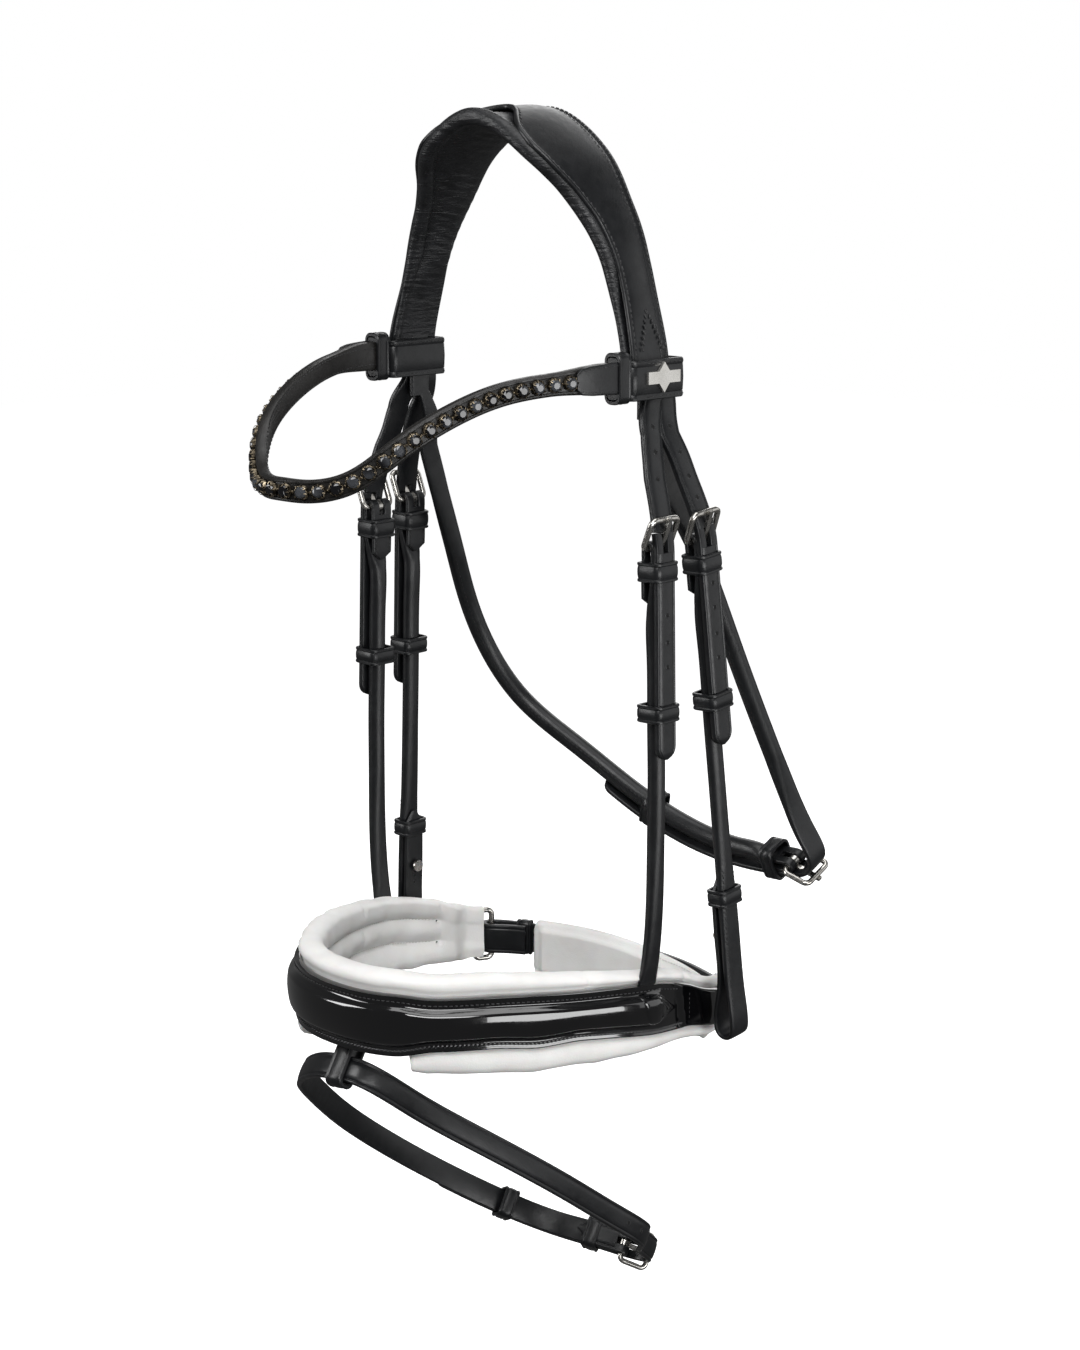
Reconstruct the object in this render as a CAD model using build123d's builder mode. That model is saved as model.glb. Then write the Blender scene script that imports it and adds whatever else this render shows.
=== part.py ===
from build123d import *
from math import cos, hypot, radians, sin, tan
import os

# Snaffle bridle: headpiece, browband, cheekpieces, crank noseband, flash strap and throatlash.
# Millimetres. The origin is the middle of the underside of the crown, which rests on the poll.
# +Z is up, the horse faces -Y, and +X is the horse's left (near) side.

os.makedirs("parts", exist_ok=True)

SIDES = ((1, "left"), (-1, "right"))
STANDING = (Align.CENTER, Align.CENTER, Align.MIN)

# Leather
STRAP_WIDTH = 13.0
BILLET_THICKNESS = 3.0
CHEEK_THICKNESS = 5.0
STITCH_GAP = 0.1
MOVING_GAP = 0.4

# Crown: half of the mid-surface arch (x, z), and the front edge of its side outline (y, z)
CROWN_ARCH = [(30, -7), (41, -17), (52, -33.5), (60, -46.5), (67, -62), (72, -79), (75.8, -92)]
CROWN_TOP = (0, 6)
CROWN_FRONT = [(-26, 14), (-23, -5), (-11.2, -27), (-4.2, -43), (-0.7, -62), (0, -96)]
CROWN_REAR_Y = 31.0
CROWN_LOW = -96
CROWN_HIGH = 14
PANEL_THICKNESS = 3.2
CROWN_PAD_THICKNESS = 7.6
CROWN_PAD_TOP = 1.6

# Headpiece straps, which run straight down through the browband loops
STRAP_X = 83.0
FRONT_Y = 3.5
REAR_Y = 31.0
MIDDLE_X = 79.1
MIDDLE_Y = 17.0
PLATE_Z = (-104.0, -84.0)
SPLIT_Z = -102.0
STRAP_END_Z = -136.0
MIDDLE_END_Z = -139.5
SWING_Z = -140.2
THROAT_Z = -144.4

# Browband: half of its centreline (x, y, z) from the middle of the brow to the loop
BROW_LINE = [(0, -146, -157.5), (12, -143.5, -160), (30, -133, -156), (46.6, -116, -140.5), (57, -94, -128),
             (66, -68, -119.5), (76.5, -42, -116), (82, -21, -115), (82.6, -7.6, -115)]
BROW_THICKNESS = 5.0
BROW_HEIGHT = 11.0
LOOP_CENTRE = (82.0, 16.5, -117.0)
LOOP_HEIGHT = 19.0
LOOP_INNER = (11.0, 43.0)
LOOP_WALL = 2.0
GEM_COUNT = 38
GEM_START = 0.085
GEM_R = 2.8
GEM_HEIGHT = 2.0
SETTING_R = 3.5
SETTING_HEIGHT = 1.5
BADGE_CENTRE = (16.0, -116.0)
BADGE_BAR = (23.0, 5.8)
BADGE_DIAMOND = (12.3, 14.6)
BADGE_THICKNESS = 1.4

# Buckles: bars at (-3, -7) and (3, 7) in the strap's own plane, x outwards and y up the strap
BAR_R = 1.5
BAR_SPACING = hypot(6, 14)
FRAME_HALF_WIDTH = 9.5
TONGUE_FIT = 0.06
TONGUE_R = 3.0
TONGUE_WIDTH = 2.6
TONGUE_THICKNESS = 1.8
TONGUE_SLOT = (10.0, 13.5)
BUCKLE_BAR = (-3.0, -7.0)
CHAPE_R = 3.3

# Columns: buckle centre (x, y, z), outward lean and backward lean in degrees
FRONT_BUCKLE = (100.2, 3.5, -189.0)
REAR_BUCKLE = (103.0, 31.0, -188.0)
FRONT_LEAN = 1.6
REAR_LEAN = 2.2
REAR_BACK_LEAN = {1: 5.4, -1: 0.5}
BILLET_TIP = -110.0
BILLET_OFFSET = 2.0
BILLET_BEND = [(-7.6, 25), (-1.6, 11), (0.8, 1), (1.9, -7), (BILLET_OFFSET, -13)]

# Keepers: half widths inside, height and wall, and the top of each along its strap
LOOSE_HALF = STRAP_WIDTH / 2 + 0.4
SEWN_HALF = STRAP_WIDTH / 2 + 0.2
KEEPER_HEIGHT = 8.5
KEEPER_WALL = 1.6
UPPER_KEEPER = -13.5
LOWER_KEEPER = -83.0
BIT_END_KEEPER = -186.0
SLANTED_KEEPER = 4.2

# Noseband hanger and its end tab
ROLL_R = 4.3
HANGER_PIVOT = (99.6, 2.0, -414.0)
TAB_R = 6.5
TAB_THICKNESS = 5.0
FRONT_BACK_LEAN = -0.38
FLAT_END = (-12.0, -30.0)
ROLL_SPAN = (-24.0, -110.0)
ROLL_BEND = (-1.0, -150.0)

# Bit end of the cheekpiece
BIT_V = -261.0
BIT_R = 4.2
BIT_WALL = 2.2
RETURN_THICKNESS = 2.8
RETURN_TOP = -180.0
RETURN_SETTLED = 26.0
STUD_V = -212.0
STUD_STEM = (1.4, 1.6)
STUD_HEAD = (3.2, 1.4)

# Noseband: half of the plan (x, y) from front to rear, and the side outline (y, z)
NOSE_PLAN = [(0, -118), (22, -115.5), (42, -106), (62, -85), (80, -55), (92, -22), (96, 0), (94.2, 30), (90.2, 63)]
NOSE_TOP = [(66, -436), (47, -428.5), (33, -422), (7, -415.5), (-18, -412), (-59, -409), (-122, -406.5)]
NOSE_BOTTOM = [(-122, -439.8), (-108, -438), (-92, -434.8), (-40, -436), (-18, -438.6), (8, -442.8), (66, -454)]
SHELL_THICKNESS = 3.5
NOSE_PAD_THICKNESS = 11.0
PAD_RISE = 11.0
PAD_BOTTOM = [(-122, -438.5), (-103, -438), (-100, -446.5), (-75, -449), (-28, -450.5), (10, -451.5), (66, -457.5)]
COVER_R = 11.0
COVER_THICKNESS = 5.4
COVER_DROP = 2.0

# Rings, crank strap and chin pad
RING_CENTRE = (87.6, 71.2, -446.0)
RING_DIRECTION = (-0.45, 0.89)
RING_LENGTH = 10.0
RING_HEIGHT = 28.0
RING_WIRE_R = 1.6
WRAP_R = 3.3
WRAP_WALL = 1.6
CRANK_PLAN = [(84, 80), (68, 89), (38, 98), (0, 101)]
CRANK_THICKNESS = 3.0
CRANK_HEIGHT = 22.0
CHIN_PLAN = [(60, 84.5), (34, 91), (0, 94)]
CHIN_THICKNESS = 9.0
CHIN_HEIGHT = 32.0
CHIN_Z = -451.0

# Throatlash plane: tilted back from the vertical; points are (x, up)
THROAT_TILT = 65.0
THROAT_ROLL_R = 5.3
THROAT_RIGHT = [(-86.5, -52), (-91.5, -90), (-95.5, -128), (-80, -185), (-47, -212), (-14, -236), (24, -254),
                (55, -258.5)]
THROAT_LEFT = [(88, -60), (92.5, -120), (97.5, -187), (100.5, -218)]
THROAT_BUCKLE = (96.0, -262.0)
THROAT_BUCKLE_ANGLE = 3.0
THROAT_PASSING = [(-24, 9), (-6, 9.5), (0.4, 1), (1.9, -8), (2.2, -16)]
THROAT_TOP = [(81.2, -14), (84, -35)]
THROAT_TIP = (-33, -231)
THROAT_KEEPERS = (("throatlash_keeper", (-2, -242.3), -25.3), ("throatlash_buckle_keeper", (77, -258), 2.0))

# Flash strap plane: (across, up) points, up being towards the front of the nose
FLASH_ORIGIN = (0.0, -116.0, -451.0)
FLASH_DROP = 38.0
FLASH_ROLL = 9.0
FLASH_LINE = [(-31, -247), (-62, -211), (-78, -155), (-77, -97), (-63, -53), (-50, -28), (-28, -9), (-7, -1),
              (6, -4), (12, -20), (13, -48), (23, -97), (35, -155), (39, -199), (37, -232)]
FLASH_THICKNESS = 2.8
FLASH_BUCKLE = (10.0, -265.0)
FLASH_BUCKLE_ANGLE = -25.0
FLASH_KEEPERS = (("flash_buckle_keeper", (-12.3, -251.8), -26.5), ("flash_keeper", (-54.5, -223), -53.0))
FLASH_CHAPE = [(-3, -12), (-3, -20)]
FLASH_PASSING = [(-26, 7), (-6, 9.5), (0.4, 1), (2.1, -8), (2.2, -16)]
FLASH_TIP = (-76, -182)
FLASH_LOOP_R = 9.0
FLASH_LOOP_WALL = 1.8
FLASH_LOOP_WIDTH = 10.0


def save(piece, name):
    """Label a finished sub-part and write its STEP file."""
    piece.part.label = name
    export_step(piece.part, f"parts/{name}.step")


def shifted(points, distance):
    """Move the points of an open line sideways, to its left when distance is positive."""
    moved = []
    for index, (x, y) in enumerate(points):
        before = points[max(index - 1, 0)]
        after = points[min(index + 1, len(points) - 1)]
        dx, dy = after[0] - before[0], after[1] - before[1]
        length = hypot(dx, dy)
        moved.append((x - dy / length * distance, y + dx / length * distance))
    return moved


def whole(half):
    """Both halves of a symmetric line whose first point lies on the middle plane."""
    return [(-point[0], *point[1:]) for point in reversed(half[1:])] + list(half)


def column_plane(side, centre, outward, backward):
    """Plane of a hanging strap: x outwards, y up along the strap, z across it."""
    x, y, z = centre
    up = Vector(-side * tan(radians(outward)), -tan(radians(backward)), 1).normalized()
    across = Vector(side, 0, 0).cross(up).normalized()
    return Plane(origin=(side * x, y, z), x_dir=up.cross(across), z_dir=across)


def turned_plane(plane, centre, angle):
    """Buckle plane inside a strap loop's plane: y along the strap, at angle from the plane's x."""
    along = plane.x_dir * cos(radians(angle)) + plane.y_dir * sin(radians(angle))
    outward = plane.x_dir * sin(radians(angle)) - plane.y_dir * cos(radians(angle))
    return Plane(origin=plane.from_local_coords((*centre, 0)), x_dir=outward, z_dir=outward.cross(along))


def ribbon(plane, paths, thickness, width):
    """A flat strap: lines drawn in the plane, thickened in it and extruded across it."""
    with BuildPart() as strap:
        with BuildSketch(plane):
            for points in paths:
                with BuildLine():
                    Spline(*points) if len(points) > 2 else Line(*points)
                trace(line_width=thickness)
        extrude(amount=width / 2, both=True)
    return strap


def strip(plan, thickness, low, high, outline):
    """An upright band: its plan line thickened, cut to a side outline of (y, z) points."""
    with BuildPart() as band:
        with BuildSketch(Plane.XY.offset(low)):
            with BuildLine():
                Spline(*plan)
            trace(line_width=thickness)
        extrude(amount=high - low)
        with BuildSketch(Plane.YZ):
            with BuildLine():
                Polyline(*outline, close=True)
            make_face()
        extrude(amount=150, both=True, mode=Mode.INTERSECT)
    return band


def across_plane(plane, u, v):
    """Plane square to the strap at (u, v), with x outwards and z up the strap."""
    return Plane(origin=plane.from_local_coords((u, v, 0)), x_dir=plane.x_dir, z_dir=plane.y_dir)


def in_plane(target, source, points):
    """Points of one plane given in another parallel plane's coordinates."""
    moved = [target.to_local_coords(source.from_local_coords((*point, 0))) for point in points]
    return [(point.X, point.Y) for point in moved]


def keeper(plane, top, inner_u, half_width, height=KEEPER_HEIGHT, wall=KEEPER_WALL):
    """A closed leather loop around the strap layers between two u values."""
    middle = sum(inner_u) / 2
    depth = inner_u[1] - inner_u[0]
    with BuildPart() as loop:
        with BuildSketch(across_plane(plane, middle, top - height)):
            RectangleRounded(depth + 2 * wall, 2 * (half_width + wall), 1.5)
            Rectangle(depth, 2 * half_width, mode=Mode.SUBTRACT)
        extrude(amount=height)
    return loop


def frame_plane(plane):
    """Plane of a buckle's frame, tilted between its two bars: x across, y up the frame."""
    slope = Vector(*BUCKLE_BAR).normalized() * -1
    up = plane.x_dir * slope.X + plane.y_dir * slope.Y
    return Plane(origin=plane.origin, x_dir=plane.z_dir, z_dir=plane.z_dir.cross(up))


def buckle_frame(plane):
    tilted = frame_plane(plane)
    half = BAR_SPACING / 2
    with BuildPart() as frame:
        with BuildLine(tilted) as rim:
            FilletPolyline((FRAME_HALF_WIDTH, -half), (FRAME_HALF_WIDTH, half), (-FRAME_HALF_WIDTH, half),
                           (-FRAME_HALF_WIDTH, -half), radius=3, close=True)
        with BuildSketch(Plane(origin=rim.wire() @ 0, z_dir=rim.wire() % 0)):
            Circle(BAR_R)
        sweep(path=rim.wire())
    return frame


def buckle_tongue(plane):
    """The tongue: an eye that turns on the lower bar and an arm that rests over the upper one."""
    tilted = frame_plane(plane)
    outward = plane.x_dir * -BUCKLE_BAR[1] + plane.y_dir * BUCKLE_BAR[0]
    section = Plane(origin=plane.origin, x_dir=tilted.y_dir, z_dir=tilted.y_dir.cross(outward))
    half = BAR_SPACING / 2
    with BuildPart() as tongue:
        with BuildSketch(section):
            with Locations((-half, 0)):
                Circle(TONGUE_R)
            with Locations((0.8, BAR_R + 0.15 + TONGUE_THICKNESS / 2)):
                Rectangle(BAR_SPACING + 2.4, TONGUE_THICKNESS)
            with Locations((-half, 0)):
                Circle(BAR_R + TONGUE_FIT, mode=Mode.SUBTRACT)
        extrude(amount=TONGUE_WIDTH / 2, both=True)
    return tongue


def chape(strap, plane):
    """Add the turned end that holds a buckle's lower bar, slotted for the tongue."""
    u, v = BUCKLE_BAR
    with BuildPart() as turned:
        add(strap.part)
        with BuildSketch(plane):
            with Locations((u, v)):
                Circle(CHAPE_R)
            with Locations((u, v - 5)):
                Rectangle(2 * CHAPE_R, 10)
            with Locations((u, v)):
                Circle(BAR_R + 0.15, mode=Mode.SUBTRACT)
        extrude(amount=STRAP_WIDTH / 2, both=True)
        with BuildSketch(plane):
            with Locations((u, v)):
                Rectangle(9, 2 * (TONGUE_R + 2 * MOVING_GAP))
        extrude(amount=TONGUE_WIDTH / 2 + MOVING_GAP, both=True, mode=Mode.SUBTRACT)
    return turned


def tongue_slot(strap, plane):
    """Cut the hole that the tongue passes through in the billet."""
    with BuildPart() as slotted:
        add(strap.part)
        with BuildSketch(plane):
            with Locations((1, -2.5)):
                Rectangle(*TONGUE_SLOT)
        extrude(amount=TONGUE_WIDTH / 2 + MOVING_GAP, both=True, mode=Mode.SUBTRACT)
    return slotted


def billet(plane, start):
    """A billet from its start point through the buckle and down over the strap below."""
    path = [start, (start[0] + 2, start[1] - 12)] + BILLET_BEND
    straight = [BILLET_BEND[-1], (BILLET_OFFSET, BILLET_TIP)]
    run = ribbon(plane, [path, straight], BILLET_THICKNESS, STRAP_WIDTH)
    with BuildPart() as piece:
        add(run.part)
        with BuildSketch(plane):
            with Locations(start):
                Circle(BILLET_THICKNESS / 2)
        extrude(amount=STRAP_WIDTH / 2, both=True)
    return tongue_slot(piece, plane)


# Crown -------------------------------------------------------------------------------------------
crown_arch = whole([CROWN_TOP] + CROWN_ARCH)
crown_rear = [(CROWN_REAR_Y, CROWN_LOW), (CROWN_REAR_Y, CROWN_HIGH)]
crown_layers = (("crown_panel", CROWN_PAD_TOP + MOVING_GAP + PANEL_THICKNESS / 2, PANEL_THICKNESS),
                ("crown_padding", CROWN_PAD_TOP - CROWN_PAD_THICKNESS / 2, CROWN_PAD_THICKNESS))
for name, offset_out, thickness in crown_layers:
    with BuildPart() as layer:
        with BuildSketch(Plane.XZ):
            with BuildLine():
                Spline(*shifted(crown_arch, offset_out))
            trace(line_width=thickness)
        extrude(amount=60, both=True)
        with BuildSketch(Plane.YZ):
            with BuildLine():
                Spline(*CROWN_FRONT)
                Polyline(CROWN_FRONT[-1], *crown_rear, CROWN_FRONT[0])
            make_face()
        extrude(amount=120, both=True, mode=Mode.INTERSECT)
    save(layer, name)

for side, tag in SIDES:
    with BuildPart() as split_strap:
        with Locations((side * STRAP_X, (FRONT_Y + REAR_Y) / 2, sum(PLATE_Z) / 2)):
            Box(BILLET_THICKNESS, REAR_Y - FRONT_Y + STRAP_WIDTH, PLATE_Z[1] - PLATE_Z[0])
        for y in (FRONT_Y, REAR_Y):
            with Locations((side * STRAP_X, y, STRAP_END_Z)):
                Box(BILLET_THICKNESS, STRAP_WIDTH, SPLIT_Z - STRAP_END_Z, align=STANDING)
        with Locations((side * MIDDLE_X, MIDDLE_Y, MIDDLE_END_Z)):
            Box(BILLET_THICKNESS, STRAP_WIDTH, SPLIT_Z - MIDDLE_END_Z, align=STANDING)
        with Locations((side * (STRAP_X + MIDDLE_X) / 2, MIDDLE_Y, SPLIT_Z)):
            Box(STRAP_X - MIDDLE_X + BILLET_THICKNESS, STRAP_WIDTH, 4, align=STANDING)
    save(split_strap, f"headpiece_strap_{tag}")

# Browband ----------------------------------------------------------------------------------------
brow_plan = whole([(x, y) for x, y, z in BROW_LINE])
brow_front = whole([(x, z) for x, y, z in BROW_LINE[:7]] + [(92, -115)])
with BuildPart() as browband:
    with BuildSketch(Plane.XY.offset(-190)):
        with BuildLine():
            Spline(*brow_plan)
        trace(line_width=BROW_THICKNESS)
    extrude(amount=110)
    with BuildSketch(Plane.XZ):
        with BuildLine():
            Spline(*brow_front)
        trace(line_width=BROW_HEIGHT)
    extrude(amount=170, both=True, mode=Mode.INTERSECT)
save(browband, "browband")

brow_curve = Spline(*whole(BROW_LINE))
gem_planes = []
for index in range(GEM_COUNT):
    place = GEM_START + (1 - 2 * GEM_START) * index / (GEM_COUNT - 1)
    run = brow_curve % place
    outward = Vector(run.Y, -run.X, 0).normalized()
    gem_planes.append(Plane(origin=brow_curve @ place + outward * (BROW_THICKNESS / 2 + 0.3), z_dir=outward))

with BuildPart() as crystals:
    for gem_plane in gem_planes:
        with BuildSketch(gem_plane):
            Circle(GEM_R)
        extrude(amount=GEM_HEIGHT)
save(crystals, "browband_crystals")

with BuildPart() as settings:
    for gem_plane in gem_planes:
        with BuildSketch(gem_plane):
            Circle(SETTING_R)
            Circle(GEM_R + STITCH_GAP, mode=Mode.SUBTRACT)
        extrude(amount=SETTING_HEIGHT)
save(settings, "crystal_settings")

for side, tag in SIDES:
    with BuildPart() as brow_loop:
        with BuildSketch(Plane.XY.offset(LOOP_CENTRE[2] - LOOP_HEIGHT / 2)):
            with Locations((side * LOOP_CENTRE[0], LOOP_CENTRE[1])):
                RectangleRounded(LOOP_INNER[0] + 2 * LOOP_WALL, LOOP_INNER[1] + 2 * LOOP_WALL, 3)
                RectangleRounded(*LOOP_INNER, 1.5, mode=Mode.SUBTRACT)
        extrude(amount=LOOP_HEIGHT)
    save(brow_loop, f"browband_loop_{tag}")

half_long, half_high = BADGE_DIAMOND[0] / 2, BADGE_DIAMOND[1] / 2
with BuildPart() as badge:
    with BuildSketch(Plane.YZ.offset(LOOP_CENTRE[0] + LOOP_INNER[0] / 2 + LOOP_WALL + STITCH_GAP)):
        with Locations(BADGE_CENTRE):
            Rectangle(*BADGE_BAR)
            Polygon((half_long, 0), (0, half_high), (-half_long, 0), (0, -half_high))
    extrude(amount=BADGE_THICKNESS)
save(badge, "loop_badge")

# Noseband hangers and their billets, buckles and keepers -------------------------------------------
for side, tag in SIDES:
    column = column_plane(side, FRONT_BUCKLE, FRONT_LEAN, FRONT_BACK_LEAN)
    top = column.to_local_coords(Vector(side * STRAP_X, FRONT_Y, SWING_Z))
    pivot = column.to_local_coords(Vector(side * HANGER_PIVOT[0], HANGER_PIVOT[1], HANGER_PIVOT[2]))
    layer_u = BUCKLE_BAR[0]
    roll_u = BILLET_OFFSET - BILLET_THICKNESS / 2 - ROLL_R - STITCH_GAP

    save(billet(column, (top.X, top.Y)), f"noseband_billet_{tag}")

    flat_line = [(layer_u, v) for v in FLAT_END]
    flat_end = chape(ribbon(column, [flat_line], CHEEK_THICKNESS, STRAP_WIDTH), column)
    with BuildPart() as hanger:
        add(flat_end.part)
        with BuildLine(column) as roll:
            Line((roll_u, ROLL_SPAN[0]), (roll_u, ROLL_SPAN[1]))
            Spline((roll_u, ROLL_SPAN[1]), (roll_u + ROLL_BEND[0], ROLL_BEND[1]), (pivot.X, pivot.Y + 10),
                   tangents=((0, -1), (0, -1)))
        with BuildSketch(across_plane(column, roll_u, ROLL_SPAN[0])):
            Circle(ROLL_R)
        sweep(path=roll.wire())
        with BuildSketch(Plane(origin=column.from_local_coords((pivot.X, pivot.Y, 0)),
                               x_dir=column.z_dir, z_dir=(side, 0, 0))):
            Circle(TAB_R)
            with Locations((0, -TAB_R + 1)):
                Rectangle(2 * TAB_R, 2 * (TAB_R - 1))
        extrude(amount=TAB_THICKNESS / 2, both=True)
    save(hanger, f"noseband_hanger_{tag}")

    save(buckle_frame(column), f"noseband_buckle_{tag}")
    save(buckle_tongue(column), f"noseband_buckle_tongue_{tag}")
    flat_layers = (layer_u - 3.4, BILLET_OFFSET + BILLET_THICKNESS / 2 + 0.2)
    roll_layers = (roll_u - ROLL_R - MOVING_GAP, BILLET_OFFSET + BILLET_THICKNESS / 2 + MOVING_GAP)
    save(keeper(column, UPPER_KEEPER, flat_layers, SEWN_HALF), f"noseband_upper_keeper_{tag}")
    save(keeper(column, LOWER_KEEPER, roll_layers, LOOSE_HALF), f"noseband_lower_keeper_{tag}")

# Cheekpieces and their billets, buckles, keepers and hook studs -------------------------------------
for side, tag in SIDES:
    column = column_plane(side, REAR_BUCKLE, REAR_LEAN, REAR_BACK_LEAN[side])
    top = column.to_local_coords(Vector(side * STRAP_X, REAR_Y, SWING_Z))
    layer_u = BUCKLE_BAR[0]
    outer_face = layer_u + CHEEK_THICKNESS / 2
    bit_u = outer_face - BIT_R - BIT_WALL
    return_u = layer_u - CHEEK_THICKNESS / 2 - 0.3 - RETURN_THICKNESS / 2

    save(billet(column, (top.X, top.Y)), f"cheek_billet_{tag}")

    outer_line = [(layer_u, FLAT_END[0]), (layer_u, BIT_V)]
    outer_layer = ribbon(column, [outer_line], CHEEK_THICKNESS, STRAP_WIDTH)
    upper_end = chape(outer_layer, column)
    with BuildPart() as cheek:
        add(upper_end.part)
        with BuildSketch(column):
            with BuildLine():
                Spline((bit_u - BIT_R - BIT_WALL / 2, BIT_V), (return_u, BIT_V + RETURN_SETTLED),
                       tangents=((0, 1), (0, 1)))
            trace(line_width=RETURN_THICKNESS - 0.6)
            with BuildLine():
                Line((return_u, BIT_V + RETURN_SETTLED), (return_u, RETURN_TOP))
            trace(line_width=RETURN_THICKNESS)
            with Locations((bit_u, BIT_V)):
                Circle(BIT_R + BIT_WALL)
                Circle(BIT_R, mode=Mode.SUBTRACT)
        extrude(amount=STRAP_WIDTH / 2, both=True)
        with BuildSketch(column):
            with Locations((bit_u, BIT_V)):
                Circle(BIT_R)
        extrude(amount=STRAP_WIDTH / 2 + 1, both=True, mode=Mode.SUBTRACT)
    save(cheek, f"cheekpiece_{tag}")

    save(buckle_frame(column), f"cheek_buckle_{tag}")
    save(buckle_tongue(column), f"cheek_buckle_tongue_{tag}")
    flat_layers = (layer_u - 3.4, BILLET_OFFSET + BILLET_THICKNESS / 2 + 0.2)
    billet_face = BILLET_OFFSET + BILLET_THICKNESS / 2
    slide_layers = (layer_u - CHEEK_THICKNESS / 2 - MOVING_GAP, billet_face + MOVING_GAP)
    end_layers = (return_u - RETURN_THICKNESS / 2 - 0.2, outer_face + 0.2)
    save(keeper(column, UPPER_KEEPER, flat_layers, SEWN_HALF), f"cheek_upper_keeper_{tag}")
    save(keeper(column, LOWER_KEEPER, slide_layers, LOOSE_HALF), f"cheek_lower_keeper_{tag}")
    save(keeper(column, BIT_END_KEEPER, end_layers, SEWN_HALF), f"bit_end_keeper_{tag}")

    with BuildPart() as stud:
        inner_face = return_u - RETURN_THICKNESS / 2 - STITCH_GAP
        stud_plane = Plane(origin=column.from_local_coords((inner_face, STUD_V, 0)), z_dir=column.x_dir * -1)
        with BuildSketch(stud_plane):
            Circle(STUD_STEM[0])
        extrude(amount=STUD_STEM[1])
        with BuildSketch(stud_plane.offset(STUD_STEM[1])):
            Circle(STUD_HEAD[0])
        extrude(amount=STUD_HEAD[1])
    save(stud, f"hook_stud_{tag}")

# Noseband ------------------------------------------------------------------------------------------
nose_plan = whole(NOSE_PLAN)
shell_x = NOSE_PLAN[6][0]
tab_face = HANGER_PIVOT[0] + TAB_THICKNESS / 2
shell = strip(nose_plan, SHELL_THICKNESS, -475, -380, NOSE_TOP + NOSE_BOTTOM)
with BuildPart() as noseband:
    add(shell.part)
    for side in (1, -1):
        with BuildSketch(Plane.YZ.offset(side * (HANGER_PIVOT[0] - TAB_THICKNESS / 2 - 0.6))):
            with Locations((HANGER_PIVOT[1], HANGER_PIVOT[2])):
                Circle(TAB_R + MOVING_GAP + 0.2)
        extrude(amount=side * 12, mode=Mode.SUBTRACT)
save(noseband, "noseband")

pad_shift = SHELL_THICKNESS / 2 + 0.5 + NOSE_PAD_THICKNESS / 2
pad_outline = [(y, z + PAD_RISE) for y, z in NOSE_TOP] + PAD_BOTTOM
nose_padding = strip(shifted(nose_plan, pad_shift), NOSE_PAD_THICKNESS, -475, -375, pad_outline)
save(nose_padding, "noseband_padding")

for side, tag in SIDES:
    with BuildPart() as cover:
        with BuildSketch(Plane.YZ.offset(side * (shell_x + SHELL_THICKNESS / 2 + 0.3))):
            with Locations((HANGER_PIVOT[1], HANGER_PIVOT[2] - COVER_DROP)):
                Circle(COVER_R)
        extrude(amount=side * COVER_THICKNESS)
        with BuildSketch(Plane.YZ.offset(side * shell_x)):
            with Locations((HANGER_PIVOT[1], HANGER_PIVOT[2])):
                Circle(TAB_R + MOVING_GAP + 0.2)
            with Locations((HANGER_PIVOT[1], HANGER_PIVOT[2] + TAB_R + 0.5)):
                Rectangle(2 * COVER_R, 2 * TAB_R + 1)
        extrude(amount=side * (tab_face + MOVING_GAP - shell_x), mode=Mode.SUBTRACT)
        with BuildSketch(Plane.YZ.offset(side * shell_x)):
            with Locations((HANGER_PIVOT[1], HANGER_PIVOT[2] + COVER_R + 2)):
                Rectangle(2.5 * COVER_R, 18)
        extrude(amount=side * 12, mode=Mode.SUBTRACT)
    save(cover, f"hanger_cover_{tag}")

    ring_plane = Plane(origin=(side * RING_CENTRE[0], RING_CENTRE[1], RING_CENTRE[2]),
                       x_dir=(side * RING_DIRECTION[0], RING_DIRECTION[1], 0),
                       z_dir=(side * RING_DIRECTION[1], -RING_DIRECTION[0], 0))
    half_length, half_height = RING_LENGTH / 2, RING_HEIGHT / 2
    with BuildPart() as ring:
        with BuildLine(ring_plane) as rim:
            FilletPolyline((half_length, -half_height), (half_length, half_height),
                           (-half_length, half_height), (-half_length, -half_height), radius=3, close=True)
        with BuildSketch(Plane(origin=rim.wire() @ 0, z_dir=rim.wire() % 0)):
            Circle(RING_WIRE_R)
        sweep(path=rim.wire())
    save(ring, f"noseband_ring_{tag}")

with BuildPart() as flash_loop:
    with BuildSketch(Plane.YZ):
        with Locations((FLASH_ORIGIN[1], FLASH_ORIGIN[2])):
            Circle(FLASH_LOOP_R + FLASH_LOOP_WALL)
            Circle(FLASH_LOOP_R, mode=Mode.SUBTRACT)
    extrude(amount=FLASH_LOOP_WIDTH / 2, both=True)
save(flash_loop, "flash_loop")

# Crank strap and chin pad ------------------------------------------------------------------------------
ring_unit = hypot(*RING_DIRECTION)
rear_bar = (RING_CENTRE[0] + RING_DIRECTION[0] / ring_unit * RING_LENGTH / 2,
            RING_CENTRE[1] + RING_DIRECTION[1] / ring_unit * RING_LENGTH / 2)
crank_plan = whole(list(reversed(CRANK_PLAN)))
with BuildPart() as crank_strap:
    with BuildSketch(Plane.XY.offset(RING_CENTRE[2] - CRANK_HEIGHT / 2)):
        with BuildLine():
            Spline(*crank_plan)
        trace(line_width=CRANK_THICKNESS)
        with Locations(rear_bar, (-rear_bar[0], rear_bar[1])):
            Circle(WRAP_R + WRAP_WALL)
            Circle(WRAP_R, mode=Mode.SUBTRACT)
    extrude(amount=CRANK_HEIGHT)
save(crank_strap, "crank_strap")

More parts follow.
